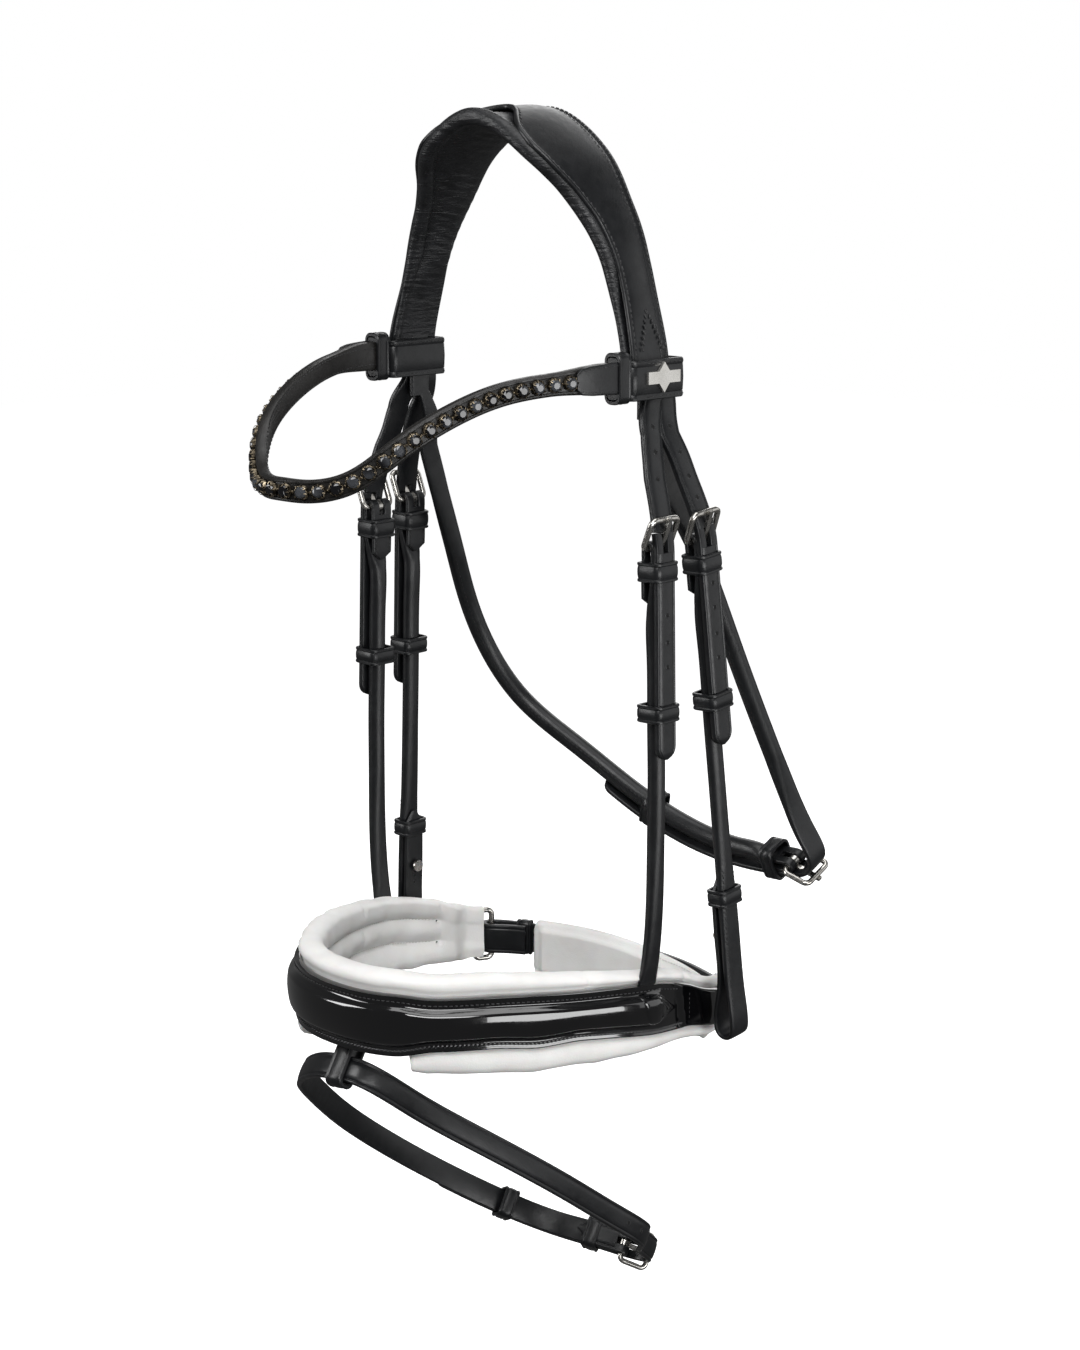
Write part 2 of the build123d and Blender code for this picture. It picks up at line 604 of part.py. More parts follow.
with BuildPart() as chin_pad:
    with BuildSketch(Plane.XY.offset(CHIN_Z - CHIN_HEIGHT / 2)):
        with BuildLine():
            Spline(*whole(list(reversed(CHIN_PLAN))))
        trace(line_width=CHIN_THICKNESS)
    extrude(amount=CHIN_HEIGHT)
save(chin_pad, "chin_pad")

crank_end, crank_next = Vector(*CRANK_PLAN[0]), Vector(*CRANK_PLAN[1])
crank_direction = (crank_end - crank_next).normalized()
keeper_spot = (crank_end + crank_next) * 0.5 + Vector(0.2, 0.5)
crank_plane = Plane(origin=(-keeper_spot.X, keeper_spot.Y, RING_CENTRE[2]),
                    x_dir=(crank_direction.Y, crank_direction.X, 0), z_dir=(0, 0, 1))
save(keeper(crank_plane, 4, (-1.9, 1.9), CRANK_HEIGHT / 2 + 0.3, height=8, wall=1.2), "crank_keeper")

# Throatlash --------------------------------------------------------------------------------------------
tilt = radians(THROAT_TILT)
throat = Plane(origin=(0, MIDDLE_Y, THROAT_Z), x_dir=(1, 0, 0), z_dir=(0, -sin(tilt), -cos(tilt)))
throat_buckle = turned_plane(throat, THROAT_BUCKLE, THROAT_BUCKLE_ANGLE)
throat_u = BILLET_OFFSET - BILLET_THICKNESS / 2 - THROAT_ROLL_R - STITCH_GAP

right_top = [(-MIDDLE_X, 0)] + [(-x, up) for x, up in THROAT_TOP] + [THROAT_RIGHT[0]]
flat_top = ribbon(throat, [right_top], BILLET_THICKNESS, STRAP_WIDTH - 1)
buckle_end = chape(flat_top, throat_buckle)
roll_end = throat.to_local_coords(throat_buckle.from_local_coords((throat_u, -14, 0)))
with BuildPart() as throatlash:
    add(buckle_end.part)
    with BuildLine(throat) as roll:
        Spline(*THROAT_RIGHT, (roll_end.X, roll_end.Y))
    with BuildSketch(Plane(origin=roll.wire() @ 0, z_dir=roll.wire() % 0)):
        Circle(THROAT_ROLL_R)
    sweep(path=roll.wire())
save(throatlash, "throatlash")

billet_run = in_plane(throat, throat_buckle, THROAT_PASSING)
under_gap = THROAT_ROLL_R + BILLET_THICKNESS / 2 + 0.6
under_run = shifted([(roll_end.X, roll_end.Y)] + THROAT_RIGHT[:3:-1], under_gap)
left_top = [(MIDDLE_X, 0)] + THROAT_TOP + [THROAT_LEFT[0]]
left_run = [THROAT_LEFT[-1]] + billet_run + under_run[1:4] + [THROAT_TIP]
flat_run = ribbon(throat, [left_top, left_run], BILLET_THICKNESS, STRAP_WIDTH)
with BuildPart() as throat_billet:
    add(flat_run.part)
    with BuildLine(throat) as roll:
        Spline(*THROAT_LEFT)
    with BuildSketch(Plane(origin=roll.wire() @ 0, z_dir=roll.wire() % 0)):
        Circle(THROAT_ROLL_R - 0.3)
    sweep(path=roll.wire())
save(tongue_slot(throat_billet, throat_buckle), "throatlash_billet")

save(buckle_frame(throat_buckle), "throatlash_buckle")
save(buckle_tongue(throat_buckle), "throatlash_buckle_tongue")
for name, centre, angle in THROAT_KEEPERS:
    both_layers = (-THROAT_ROLL_R - MOVING_GAP, THROAT_ROLL_R + BILLET_THICKNESS + 2.6)
    sewn = keeper(turned_plane(throat, centre, angle), SLANTED_KEEPER, both_layers, LOOSE_HALF)
    save(sewn, name)

# Flash strap -----------------------------------------------------------------------------------------
drop = radians(FLASH_DROP)
roll_angle = radians(FLASH_ROLL)
flash_back = Vector(0, cos(drop), -sin(drop))
flash_across = Vector(cos(roll_angle), 0, sin(roll_angle))
flash_across = (flash_across - flash_back * flash_across.dot(flash_back)).normalized()
flash = Plane(origin=FLASH_ORIGIN, x_dir=flash_across, z_dir=flash_across.cross(flash_back * -1))
flash_buckle = turned_plane(flash, FLASH_BUCKLE, FLASH_BUCKLE_ANGLE)

chape_start = in_plane(flash, flash_buckle, FLASH_CHAPE)
passing = in_plane(flash, flash_buckle, FLASH_PASSING)
doubled = shifted(FLASH_LINE[:3], FLASH_THICKNESS + 1.4)
flash_end = [FLASH_LINE[-1]] + passing + doubled[:2] + [FLASH_TIP]
loop_line = ribbon(flash, [chape_start + FLASH_LINE, flash_end], FLASH_THICKNESS, STRAP_WIDTH)
save(tongue_slot(chape(loop_line, flash_buckle), flash_buckle), "flash_strap")
for name, centre, angle in FLASH_KEEPERS:
    both_layers = (-FLASH_THICKNESS / 2 - 2.6, FLASH_THICKNESS * 1.5 + 4)
    sewn = keeper(turned_plane(flash, centre, angle), SLANTED_KEEPER, both_layers, LOOSE_HALF)
    save(sewn, name)
save(buckle_frame(flash_buckle), "flash_buckle")
save(buckle_tongue(flash_buckle), "flash_buckle_tongue")
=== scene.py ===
from math import cos, pi, radians, sin, tan

import bmesh
import bpy
import numpy as np
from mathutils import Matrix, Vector


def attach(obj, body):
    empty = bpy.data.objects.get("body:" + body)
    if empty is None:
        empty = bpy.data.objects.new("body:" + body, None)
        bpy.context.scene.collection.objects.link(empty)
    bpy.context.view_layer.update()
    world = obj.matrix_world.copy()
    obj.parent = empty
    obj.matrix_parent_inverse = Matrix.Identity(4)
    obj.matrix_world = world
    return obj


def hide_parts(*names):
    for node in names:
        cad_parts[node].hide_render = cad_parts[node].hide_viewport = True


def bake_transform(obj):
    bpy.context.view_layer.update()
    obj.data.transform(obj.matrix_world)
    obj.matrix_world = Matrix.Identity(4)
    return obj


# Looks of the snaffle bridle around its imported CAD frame.
# Shapes are worked out in the CAD's millimetres and written to meshes in metres.

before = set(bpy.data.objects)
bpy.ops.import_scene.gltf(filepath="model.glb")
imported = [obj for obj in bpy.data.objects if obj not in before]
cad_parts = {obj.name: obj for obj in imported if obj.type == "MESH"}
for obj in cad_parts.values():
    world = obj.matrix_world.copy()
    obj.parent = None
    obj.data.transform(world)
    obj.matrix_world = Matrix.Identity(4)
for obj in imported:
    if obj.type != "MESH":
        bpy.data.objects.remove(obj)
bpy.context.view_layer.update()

MM = 0.001
SIDES = ((1, "left"), (-1, "right"))

# Design values, in millimetres and degrees
STRAP_WIDTH = 13.0
BILLET_THICKNESS = 3.0
CROWN_TOP = (0, 6)
CROWN_ARCH = [(30, -7), (41, -17), (52, -33.5), (60, -46.5), (67, -62), (72, -79), (75.8, -92), (78.6, -103),
              (79.8, -110)]
CROWN_FRONT = ((0, 30, 40, 50, 60, 70, 80, 90, 100, 128, 150),
               (-25, -22.7, -21.5, -17.2, -11.2, -7, -4.2, -2.2, -0.7, 0, -1))
CROWN_PIPING = ((0, 10, 18.7, 26.6, 39, 52, 64, 79, 93, 106, 120, 136, 150),
                (3.5, -4, -13, -19, -20.5, -15, -7, -1, 1.5, 3, 3, 1.5, 0.5))
CROWN_REAR = ((0, 30, 40, 60, 80, 100, 150), (33, 33, 32.5, 32, 30.5, 28.5, 28.5))
STRAP_X = 83.0
FRONT_Y = 3.5
REAR_Y = 31.0
MIDDLE_X = 79.1
MIDDLE_Y = 17.0
SWING_Z = -140.2
THROAT_Z = -144.4
BROW_LINE = [(0, -146, -162), (12, -143.5, -162.2), (30, -133, -158), (46.6, -116, -142), (57, -94, -128.5),
             (66, -68, -119.5), (76.5, -42, -116), (82, -21, -115), (82.6, -7.6, -115)]
BROW_THICKNESS = 5.0
BROW_HEIGHT = 10.6
GEM_COUNT = 38
LOOP_CENTRE = (82, 14.0, -117.0)
LOOP_HALF_SIZE = (5.5, 17.2)
LOOP_HALF_HEIGHT = 9.5
BUCKLE_BAR = (-3.0, -7.0)
CHAPE_RADIUS = 2.75
STRIP_SHIFT = 4.1
TIP_LENGTH = 6.5
KEEPER_WALL = 1.5
KEEPER_HEIGHT = 8.5
SEWN_KEEPER_HEIGHT = 9.5
SEWN_KEEPER_TOP = -13.5
LOOSE_KEEPER_TOP = -83
BIT_KEEPER_TOP = -186
LYING_KEEPER_TOP = 4.2
FRONT_BUCKLE = (100.2, 3.5, -189.0)
REAR_BUCKLE = (103.0, 31.0, -188.0)
FRONT_LEAN = 1.6
REAR_LEAN = 2.2
FRONT_BACK_LEAN = -0.38
REAR_BACK_LEAN = {1: 5.4, -1: 0.5}
HANGER_PIVOT = (99.6, 2.0, -414.0)
BIT_V = -261.0
NOSE_PLAN = [(0, -118), (22, -115.5), (42, -106), (62, -85), (80, -55), (92, -22), (96, 0), (94.2, 30),
             (90.2, 63), (87.4, 69.5)]
SHELL_END = 232.5
NOSE_TOP = [(66, -434), (47, -428.5), (33, -422), (7, -415), (-18, -412.2), (-59, -409), (-76, -408),
            (-102, -408), (-110, -406.5), (-118, -407)]
NOSE_BOTTOM = [(-118, -439), (-110, -438.4), (-102, -435.2), (-76, -434.8), (-59, -437), (-40, -436),
               (-18, -438.6), (8, -442.8), (34, -446), (48, -449.6), (66, -454)]
PAD_RISE = ((0, 78, 124, 166, 190, 208, 229), (9.5, 9.8, 7.6, 4.6, 4.8, 5.5, 5.5))
PAD_DROP = ((40.5, 42, 50, 80, 110, 137, 176, 221, 229), (-1.5, 9.5, 12, 14, 13.5, 13.5, 8.7, 6, 4))
PAD_SEAMS = (133.0, 200.0)
END_SEAM = 196.5
COVER_TOP = -418.5
COVER_SIZE = (8.4, 17.5)
PAD_DEPTH = 13.0
RING_CENTRE = (87.6, 71.2, -446.0)
RING_DIRECTION = (-0.45, 0.89)
RING_LENGTH = 10.0
CRANK_PLAN = [(68, 89), (38, 98), (0, 101)]
CRANK_HEIGHT = 16.5
CRANK_Z = -447.8
CRANK_KEEPER = (-71.0, 87.6, CRANK_Z)
CHIN_PLAN = [(-60, 84.5), (-34, 91), (0, 94), (34, 91), (56, 85.5), (70, 79)]
CHIN_Z = -451.0
CHIN_HALF_HEIGHT = 17.6
THROAT_TILT = 65.0
THROAT_ROLL_R = 5.3
THROAT_TUCK = 7.0
THROAT_TURN = (-4.9, -30)
THROAT_RIGHT = [(-86.5, -52), (-91.5, -90), (-95.5, -128), (-80, -185), (-47, -212), (-14, -236), (24, -254),
                (55, -258.5)]
THROAT_LEFT = [(88, -60), (92.5, -120), (97.5, -187), (100.5, -218)]
THROAT_BUCKLE = (96.0, -262.0)
THROAT_BUCKLE_ANGLE = 3.0
THROAT_TIP = (-33, -231)
THROAT_KEEPERS = (("throatlash_keeper", (-2, -242.3), -25.3), ("throatlash_buckle_keeper", (77, -258), 2.0))
FLASH_ORIGIN = (0.0, -116.0, -451.0)
FLASH_DROP = 38.0
FLASH_ROLL = 9.0
FLASH_LINE = [(-31, -247), (-62, -211), (-78, -155), (-77, -97), (-63, -53), (-50, -28), (-28, -9), (-7, -1),
              (6, -4), (12, -20), (13, -48), (23, -97), (35, -155), (39, -199), (37, -232)]
FLASH_THICKNESS = 2.8
FLASH_BUCKLE = (10.0, -265.0)
FLASH_BUCKLE_ANGLE = -25.0
FLASH_KEEPERS = (("flash_buckle_keeper", (-12.3, -251.8), -26.5), ("flash_keeper", (-54.5, -223), -53.0))
FLASH_TIP = (-76, -182)

# Lines --------------------------------------------------------------------------------------------


def unit(v):
    v = np.asarray(v, float)
    return v / np.linalg.norm(v, axis=-1, keepdims=True)


def spline(points, step=1.6):
    """Natural cubic spline through the points, sampled about every step."""
    p = np.array(points, float)
    chord = np.r_[0, np.cumsum(np.linalg.norm(np.diff(p, axis=0), axis=1))]
    h = np.diff(chord)
    n = len(p)
    system = np.eye(n)
    right = np.zeros_like(p)
    for i in range(1, n - 1):
        system[i, i - 1:i + 2] = h[i - 1], 2 * (h[i - 1] + h[i]), h[i]
        right[i] = 6 * ((p[i + 1] - p[i]) / h[i] - (p[i] - p[i - 1]) / h[i - 1])
    bend = np.linalg.solve(system, right)
    t = np.linspace(0, chord[-1], max(2, int(chord[-1] / step)) + 1)
    k = np.clip(np.searchsorted(chord, t, side="right") - 1, 0, n - 2)
    a, b, hk = (chord[k + 1] - t)[:, None], (t - chord[k])[:, None], h[k][:, None]
    return ((bend[k] * a ** 3 + bend[k + 1] * b ** 3) / (6 * hk)
            + (p[k] / hk - bend[k] * hk / 6) * a + (p[k + 1] / hk - bend[k + 1] * hk / 6) * b)


def lengths(path):
    return np.r_[0, np.cumsum(np.linalg.norm(np.diff(path, axis=0), axis=1))]


def whole(half):
    """Both halves of a symmetric line whose first point lies on the middle plane."""
    return [(-p[0], *p[1:]) for p in reversed(half[1:])] + list(half)


def smooth(x, low, high):
    t = np.clip((np.asarray(x, float) - low) / (high - low), 0, 1)
    return t * t * (3 - 2 * t)


def blurred(values, count):
    """Values evened out along a line with a rounded window."""
    window = np.hanning(count)
    return np.convolve(np.pad(values, count // 2, mode="edge"), window / window.sum(), "valid")


def passes(path, points):
    """How far along a path it passes each of the points."""
    run = lengths(path)
    return np.maximum.accumulate([run[np.argmin(np.linalg.norm(path - p, axis=1))] for p in points])


def sized(path, points, sizes):
    """Where a path passes its points, and the width, thickness and squareness between them."""
    marks = passes(path, points)
    return marks, *(np.interp(lengths(path), marks, values) for values in np.array(sizes).T)


def track_of(path, across, flip=1):
    """A path, its directions along, out (along x across, times flip) and across, and its lengths."""
    t = unit(np.gradient(path, axis=0))
    a = np.broadcast_to(np.asarray(across, float), t.shape)
    a = unit(a - (a * t).sum(1, keepdims=True) * t)
    return path, t, np.cross(t, a) * flip, a, lengths(path)


def rounded_tip(run, reach=TIP_LENGTH):
    """Share of a strap's width that closes its end in a half round."""
    return np.sqrt(1 - np.clip((run - run[-1] + reach) / reach, 0, 0.985) ** 2)


def offset_point(line, k, gap):
    """A point on the left of a line's k-th point, square to its neighbours."""
    along = unit(np.subtract(line[k + 1], line[max(k - 1, 0)]))
    return line[k][0] - along[1] * gap, line[k][1] + along[0] * gap


def mirrored(half):
    """A symmetric profile from the first half of it, which ends on the middle line."""
    return half + [(-x, y) for x, y in reversed(half[:-1])]


class Flat:
    """A drawing plane: origin, x and y in it, z across it."""

    def __init__(self, origin, x, z):
        self.o, self.x, self.z = np.array(origin, float), unit(x), unit(z)
        self.y = np.cross(self.z, self.x)

    def at(self, u, v, w=0.0):
        return self.o + self.x * u + self.y * v + self.z * w

    def local(self, point):
        d = np.asarray(point, float) - self.o
        return float(d @ self.x), float(d @ self.y)

    def points(self, pairs):
        return [self.at(*pair) for pair in pairs]


def column(side, centre, outward, backward):
    """Plane of a hanging strap: x outwards, y up the strap."""
    up = unit([-side * tan(radians(outward)), -tan(radians(backward)), 1])
    across = unit(np.cross([side, 0, 0], up))
    return Flat((side * centre[0], centre[1], centre[2]), np.cross(up, across), across)


def turned(plane, centre, angle):
    along = plane.x * cos(radians(angle)) + plane.y * sin(radians(angle))
    outward = plane.x * sin(radians(angle)) - plane.y * cos(radians(angle))
    return Flat(plane.at(*centre), outward, np.cross(outward, along))


def arc(centre, radius, start, stop, count=7):
    """Points of an arc in a plane, angles in degrees."""
    return [(centre[0] + radius * cos(radians(a)), centre[1] + radius * sin(radians(a)))
            for a in np.linspace(start, stop, count)]


CHAPE = arc(BUCKLE_BAR, CHAPE_RADIUS, 0, 180, 9)

# Sections: closed rims of (across, out) points ----------------------------------------------------


def creased(width, thickness, crown=0.35, crease=1.5, groove=0.22):
    """A strap with rounded edges whose outer face is crowned between two crease lines."""
    h, t = width / 2, thickness / 2
    line = h - crease
    half = [(0, t + crown), (h * 0.35, t + crown * 0.85), (h * 0.62, t + crown * 0.5), (line - 0.4, t + 0.03),
            (line - 0.12, t - groove), (line + 0.12, t - groove), (line + 0.4, t), (h - 0.55, t),
            (h - 0.18, t - 0.2), (h, t - 0.6), (h, -t + 0.5), (h - 0.2, -t + 0.15), (h - 0.6, -t)]
    return np.array(half + [(-x, y) for x, y in reversed(half[1:])])


def oval(width, thickness, power, count=28):
    """Superellipse: power 2 is round, larger is squarer. Values may differ per station."""
    values = np.broadcast_arrays(width, thickness, power)
    width, thickness, power = (np.atleast_1d(v)[:, None] for v in values)
    a = np.linspace(0, 2 * pi, count, endpoint=False)[None] + pi / count
    c, s = np.cos(a), np.sin(a)
    return np.stack([width / 2 * np.sign(c) * np.abs(c) ** (2 / power),
                     thickness / 2 * np.sign(s) * np.abs(s) ** (2 / power)], -1)


def rounded(cx, cy, hx, hy, radius, count=6):
    """Rim points of a rounded rectangle and their outward normals."""
    points, normals = [], []
    for qx, qy, start in ((1, 1, 0), (-1, 1, 90), (-1, -1, 180), (1, -1, 270)):
        for a in np.radians(np.linspace(start, start + 90, count)):
            nx, ny = cos(a), sin(a)
            points.append((cx + qx * (hx - radius) + radius * nx, cy + qy * (hy - radius) + radius * ny))
            normals.append((nx, ny))
    return points, normals


def circle(centre, axes, radius, angles, height=0.0, stretch=1.0):
    """Points round the third axis, at a height along it and stretched along the second."""
    x, y, z = axes
    radius = np.broadcast_to(radius, angles.shape)[:, None]
    flat = x * np.cos(angles)[:, None] + y * stretch * np.sin(angles)[:, None]
    return centre + z * height + radius * flat


# Meshes -------------------------------------------------------------------------------------------


class Shape:
    """Gathers the surfaces of one piece, in millimetres."""

    def __init__(self):
        self.verts, self.faces, self.mats, self.count = [], [], [], 0

    def add(self, verts, faces, mat=0):
        verts = np.asarray(verts, float).reshape(-1, 3)
        self.verts.append(verts)
        self.faces += [tuple(i + self.count for i in f) for f in faces]
        self.mats += [mat] * len(faces)
        self.count += len(verts)

    def grid(self, rows, mat=0, around=True, ends=True, ring=False):
        """Quads between rows of points; around closes each row, ring closes the last row to the first."""
        n, m = np.shape(rows)[:2]
        faces = []
        for i in range(n if ring else n - 1):
            k = (i + 1) % n
            for j in range(m if around else m - 1):
                q = (j + 1) % m
                faces.append((i * m + j, i * m + q, k * m + q, k * m + j))
        if ends and around and not ring:
            faces += [tuple(range(m)), tuple(range(n * m - 1, (n - 1) * m - 1, -1))]
        self.add(rows, faces, mat)

    def sweep(self, path, across, section, flip=1, shift=0.0, scale=1.0):
        """Carries a section along a path, shifted across it, and returns the track that it followed."""
        _, t, o, a, run = track_of(path, across, flip)
        rims = np.broadcast_to(section, (len(path), *np.shape(section)[-2:]))
        rims = rims * np.broadcast_to(scale, (len(path), 2))[:, None]
        centre = path + a * shift
        self.grid(centre[:, None] + a[:, None] * rims[..., :1] + o[:, None] * rims[..., 1:])
        return centre, t, o, a, run

    def slotted(self, path, across, section, cuts, flip=1, scale=1.0, shift=STRIP_SHIFT):
        """Sweeps a strap that splits in two at each cut: first and last point, and section of the strips."""
        section = np.broadcast_to(section, (len(path), *np.shape(section)[-2:]))
        scale = np.broadcast_to(scale, (len(path), 2))
        start = 0
        for first, last, strip in cuts:
            part = slice(start, first + 1)
            self.sweep(path[part], across, section[part], flip, scale=scale[part])
            for beside in (-shift, shift):
                self.sweep(path[first:last + 1], across, strip, flip, beside)
            start = last
        self.sweep(path[start:], across, section[start:], flip, scale=scale[start:])
        return track_of(path, across, flip)

    def stitches(self, track, across, out, span, pitch=2.9, size=(2.1, 0.62, 0.5), slant=0.0, mat=1):
        """A row of sewn stitches beside a track, between two lengths along it."""
        run = track[-1]
        where = np.arange(span[0] + pitch / 2, span[1] - pitch / 4, pitch)
        if len(where) == 0:
            return

        def sample(values):
            values = np.broadcast_to(values, (len(run), *np.shape(values)[1:])).reshape(len(run), -1)
            return np.stack([np.interp(where, run, v) for v in values.T], -1)

        p, t, o, a = sample(track[0]), *(unit(sample(v)) for v in track[1:4])
        centre = p + a * sample(across) + o * sample(out)
        along = t * cos(radians(slant)) + a * sin(radians(slant))
        wide = np.cross(along, o)
        ring = np.linspace(0, 2 * pi, 6, endpoint=False)
        stations = np.array([-0.5, -0.34, 0.34, 0.5])
        girth = np.array([0.3, 1, 1, 0.3])
        for k in range(len(where)):
            rows = (centre[k] + along[k] * (stations * size[0])[:, None, None]
                    + (wide[k] * (np.cos(ring) * size[1] / 2)[:, None]
                       + o[k] * (np.sin(ring) * size[2] / 2)[:, None])[None] * girth[:, None, None])
            self.grid(rows, mat)

    def holes(self, track, places, out, radius=1.05, floor=2):
        """Punched holes: a dark floor of painted shade inside a slightly raised rim."""
        p, t, o, a, run = track
        ring = np.linspace(0, 2 * pi, 14, endpoint=False)
        for place in places:
            i = int(np.clip(np.searchsorted(run, place), 1, len(run) - 1))
            centre = p[i] + o[i] * out
            axes = t[i], a[i], o[i]
            rim = [circle(centre, axes, radius * k, ring, h)
                   for k, h in ((1.5, -0.12), (1.2, 0.1), (1.0, 0.08), (0.9, -0.02))]
            self.grid(rim, ends=False)
            self.add(circle(centre, axes, radius * 0.92, ring), [tuple(range(14))], floor)

    def band(self, plane, rim, profile, middle=0.0):
        """A closed band around a rim; its profile is (up the plane, out from the rim)."""
        rows = [[plane.at(u + nu * out, middle + v, w + nw * out) for v, out in profile]
                for (u, w), (nu, nw) in zip(*rim)]
        self.grid(rows, ring=True)

    def keeper(self, plane, top, spans, height, wall, radius=1.6):
        """A leather keeper around a box of layers, with raised borders at both edges."""
        (u0, u1), half = spans
        h = height / 2
        profile = mirrored([(-h, 0.1), (-h, wall - 0.35), (-h + 0.35, wall + 0.12), (-h + 1.2, wall + 0.12),
                            (-h + 1.7, wall - 0.3), (-h * 0.35, wall + 0.05), (0, wall + 0.12)])
        profile += [(h - 0.3, 0.0), (-h + 0.3, 0.0)]
        self.band(plane, rounded((u0 + u1) / 2, 0, (u1 - u0) / 2, half, radius), profile, top - h)


def piece(node, shape, looks, body, slot="black", sharp=42, blend=None, kind="skin"):
    """Makes the mesh object that stands for a CAD node and ties it to its body; with blend it is only baked
    in place.
    """
    name = f"{node}_{kind}"
    mesh = bpy.data.meshes.new(name)
    mesh.from_pydata(np.vstack(shape.verts) * MM, [], shape.faces)
    for look in looks:
        mesh.materials.append(look.material)
    mesh.polygons.foreach_set("material_index", shape.mats)
    edit = bmesh.new()
    edit.from_mesh(mesh)
    bmesh.ops.recalc_face_normals(edit, faces=edit.faces)
    edit.to_mesh(mesh)
    edit.free()
    mesh.shade_smooth()
    mesh.set_sharp_from_angle(angle=radians(sharp))
    obj = bpy.data.objects.new(name, mesh)
    bpy.context.scene.collection.objects.link(obj)
    if blend:
        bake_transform(obj)
    else:
        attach(obj, body)
    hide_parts(node)
    return obj


def keeper_piece(node, body, *settings):
    shape = Shape()
    shape.keeper(*settings)
    piece(node, shape, [BLACK], body, sharp=35)


# Materials ----------------------------------------------------------------------------------------


class Look:
    """A procedural material on one Principled shader, laid out in object space."""

    def __init__(self, name, colour, roughness, **sockets):
        self.material = bpy.data.materials.new(name)
        self.material.use_nodes = True
        self.tree = self.material.node_tree
        self.shader = self.tree.nodes["Principled BSDF"]
        self.shader.inputs["Base Color"].default_value = (*colour, 1)
        self.shader.inputs["Roughness"].default_value = roughness
        for key, value in sockets.items():
            self.shader.inputs[key.replace("_", " ")].default_value = value
        self.place = self.tree.nodes.new("ShaderNodeTexCoord").outputs["Object"]
        self.normal = None

    def texture(self, kind, scale, stretch=(1, 1, 1), **settings):
        made = self.tree.nodes.new(kind)
        mapping = self.tree.nodes.new("ShaderNodeMapping")
        mapping.inputs["Scale"].default_value = stretch
        self.tree.links.new(self.place, mapping.inputs["Vector"])
        self.tree.links.new(mapping.outputs["Vector"], made.inputs["Vector"])
        made.inputs["Scale"].default_value = scale
        for key, value in settings.items():
            if key in made.inputs:
                made.inputs[key].default_value = value
            else:
                setattr(made, key, value)
        return made

    def noise(self, scale, detail, stretch=(1, 1, 1), distortion=0.0):
        made = self.texture("ShaderNodeTexNoise", scale, stretch, Detail=detail, Distortion=distortion)
        return made.outputs["Fac"]

    def colours(self, noise, first, second, at=(0.35, 0.65)):
        """Base colour between two tones, after a noise's settings."""
        made = self.tree.nodes.new("ShaderNodeValToRGB")
        for element, place, colour in zip(made.color_ramp.elements, at, (first, second)):
            element.position, element.color = place, (*colour, 1)
        self.tree.links.new(self.noise(*noise), made.inputs["Fac"])
        self.tree.links.new(made.outputs["Color"], self.shader.inputs["Base Color"])
        return self

    def rough(self, noise, low, high):
        made = self.tree.nodes.new("ShaderNodeMapRange")
        for key, value in (("From Min", 0.35), ("From Max", 0.65), ("To Min", low), ("To Max", high)):
            made.inputs[key].default_value = value
        self.tree.links.new(self.noise(*noise), made.inputs["Value"])
        self.tree.links.new(made.outputs["Result"], self.shader.inputs["Roughness"])
        return self

    def raised(self, height, distance, strength=1.0):
        made = self.tree.nodes.new("ShaderNodeBump")
        made.inputs["Distance"].default_value = distance * MM
        made.inputs["Strength"].default_value = strength
        self.tree.links.new(height, made.inputs["Height"])
        if self.normal:
            self.tree.links.new(self.normal, made.inputs["Normal"])
        self.normal = made.outputs["Normal"]
        self.tree.links.new(self.normal, self.shader.inputs["Normal"])
        if self.shader.inputs["Coat Weight"].default_value > 0:
            self.tree.links.new(self.normal, self.shader.inputs["Coat Normal"])
        return self

    def bump(self, noise, distance, strength=1.0):
        return self.raised(self.noise(*noise), distance, strength)

    def pebbles(self, scale, distance):
        made = self.texture("ShaderNodeTexVoronoi", scale, feature="SMOOTH_F1", Smoothness=0.6)
        return self.raised(made.outputs["Distance"], distance)


PLAIN = (1, 1, 1)


def leather(name, colour, worn, roughness, grain):
    look = Look(name, colour, roughness[0], Specular_IOR_Level=0.5)
    look.colours((90, 4), colour, worn).rough((240, 4), *roughness)
    return look.bump((140, 3, PLAIN, 0.6), 0.25, 0.35).pebbles(1100, grain)


BLACK = leather("satin black leather", (0.0045, 0.005, 0.006), (0.008, 0.0087, 0.01), (0.32, 0.4), 0.02)
ROLLED = leather("rolled black leather", (0.005, 0.0055, 0.0065), (0.009, 0.0097, 0.011), (0.34, 0.42), 0.03)
BROWN = leather("brown black band leather", (0.006, 0.0055, 0.005), (0.011, 0.01, 0.009), (0.34, 0.48), 0.06)

CROWN_LINING = Look("soft crown lining", (0.012, 0.012, 0.013), 0.42, Specular_IOR_Level=0.5)
CROWN_LINING.colours((120, 4), (0.006, 0.0065, 0.0075), (0.014, 0.0145, 0.0165)).rough((200, 3), 0.36, 0.5)
CROWN_LINING.bump((130, 4, (0.6, 0.5, 3.2), 0.7), 1.3, 0.8).pebbles(900, 0.06)

PATENT = Look("black patent leather", (0.0015, 0.0015, 0.002), 0.09, Specular_IOR_Level=0.6,
              Coat_Weight=1.0, Coat_Roughness=0.03, Coat_IOR=1.55)
PATENT.rough((60, 2), 0.07, 0.14).bump((24, 2, PLAIN, 0.4), 0.8, 0.3).bump((260, 2), 0.04, 0.35)

WHITE = Look("soft white leather", (0.86, 0.85, 0.83), 0.55, Specular_IOR_Level=0.35, Sheen_Weight=0.15,
             Subsurface_Weight=0.08, Subsurface_Scale=0.002)
WHITE.colours((60, 5), (0.84, 0.83, 0.81), (0.9, 0.895, 0.88)).rough((300, 3), 0.5, 0.68)
WHITE.bump((75, 4, PLAIN, 1.2), 0.55, 0.4).pebbles(1300, 0.06)

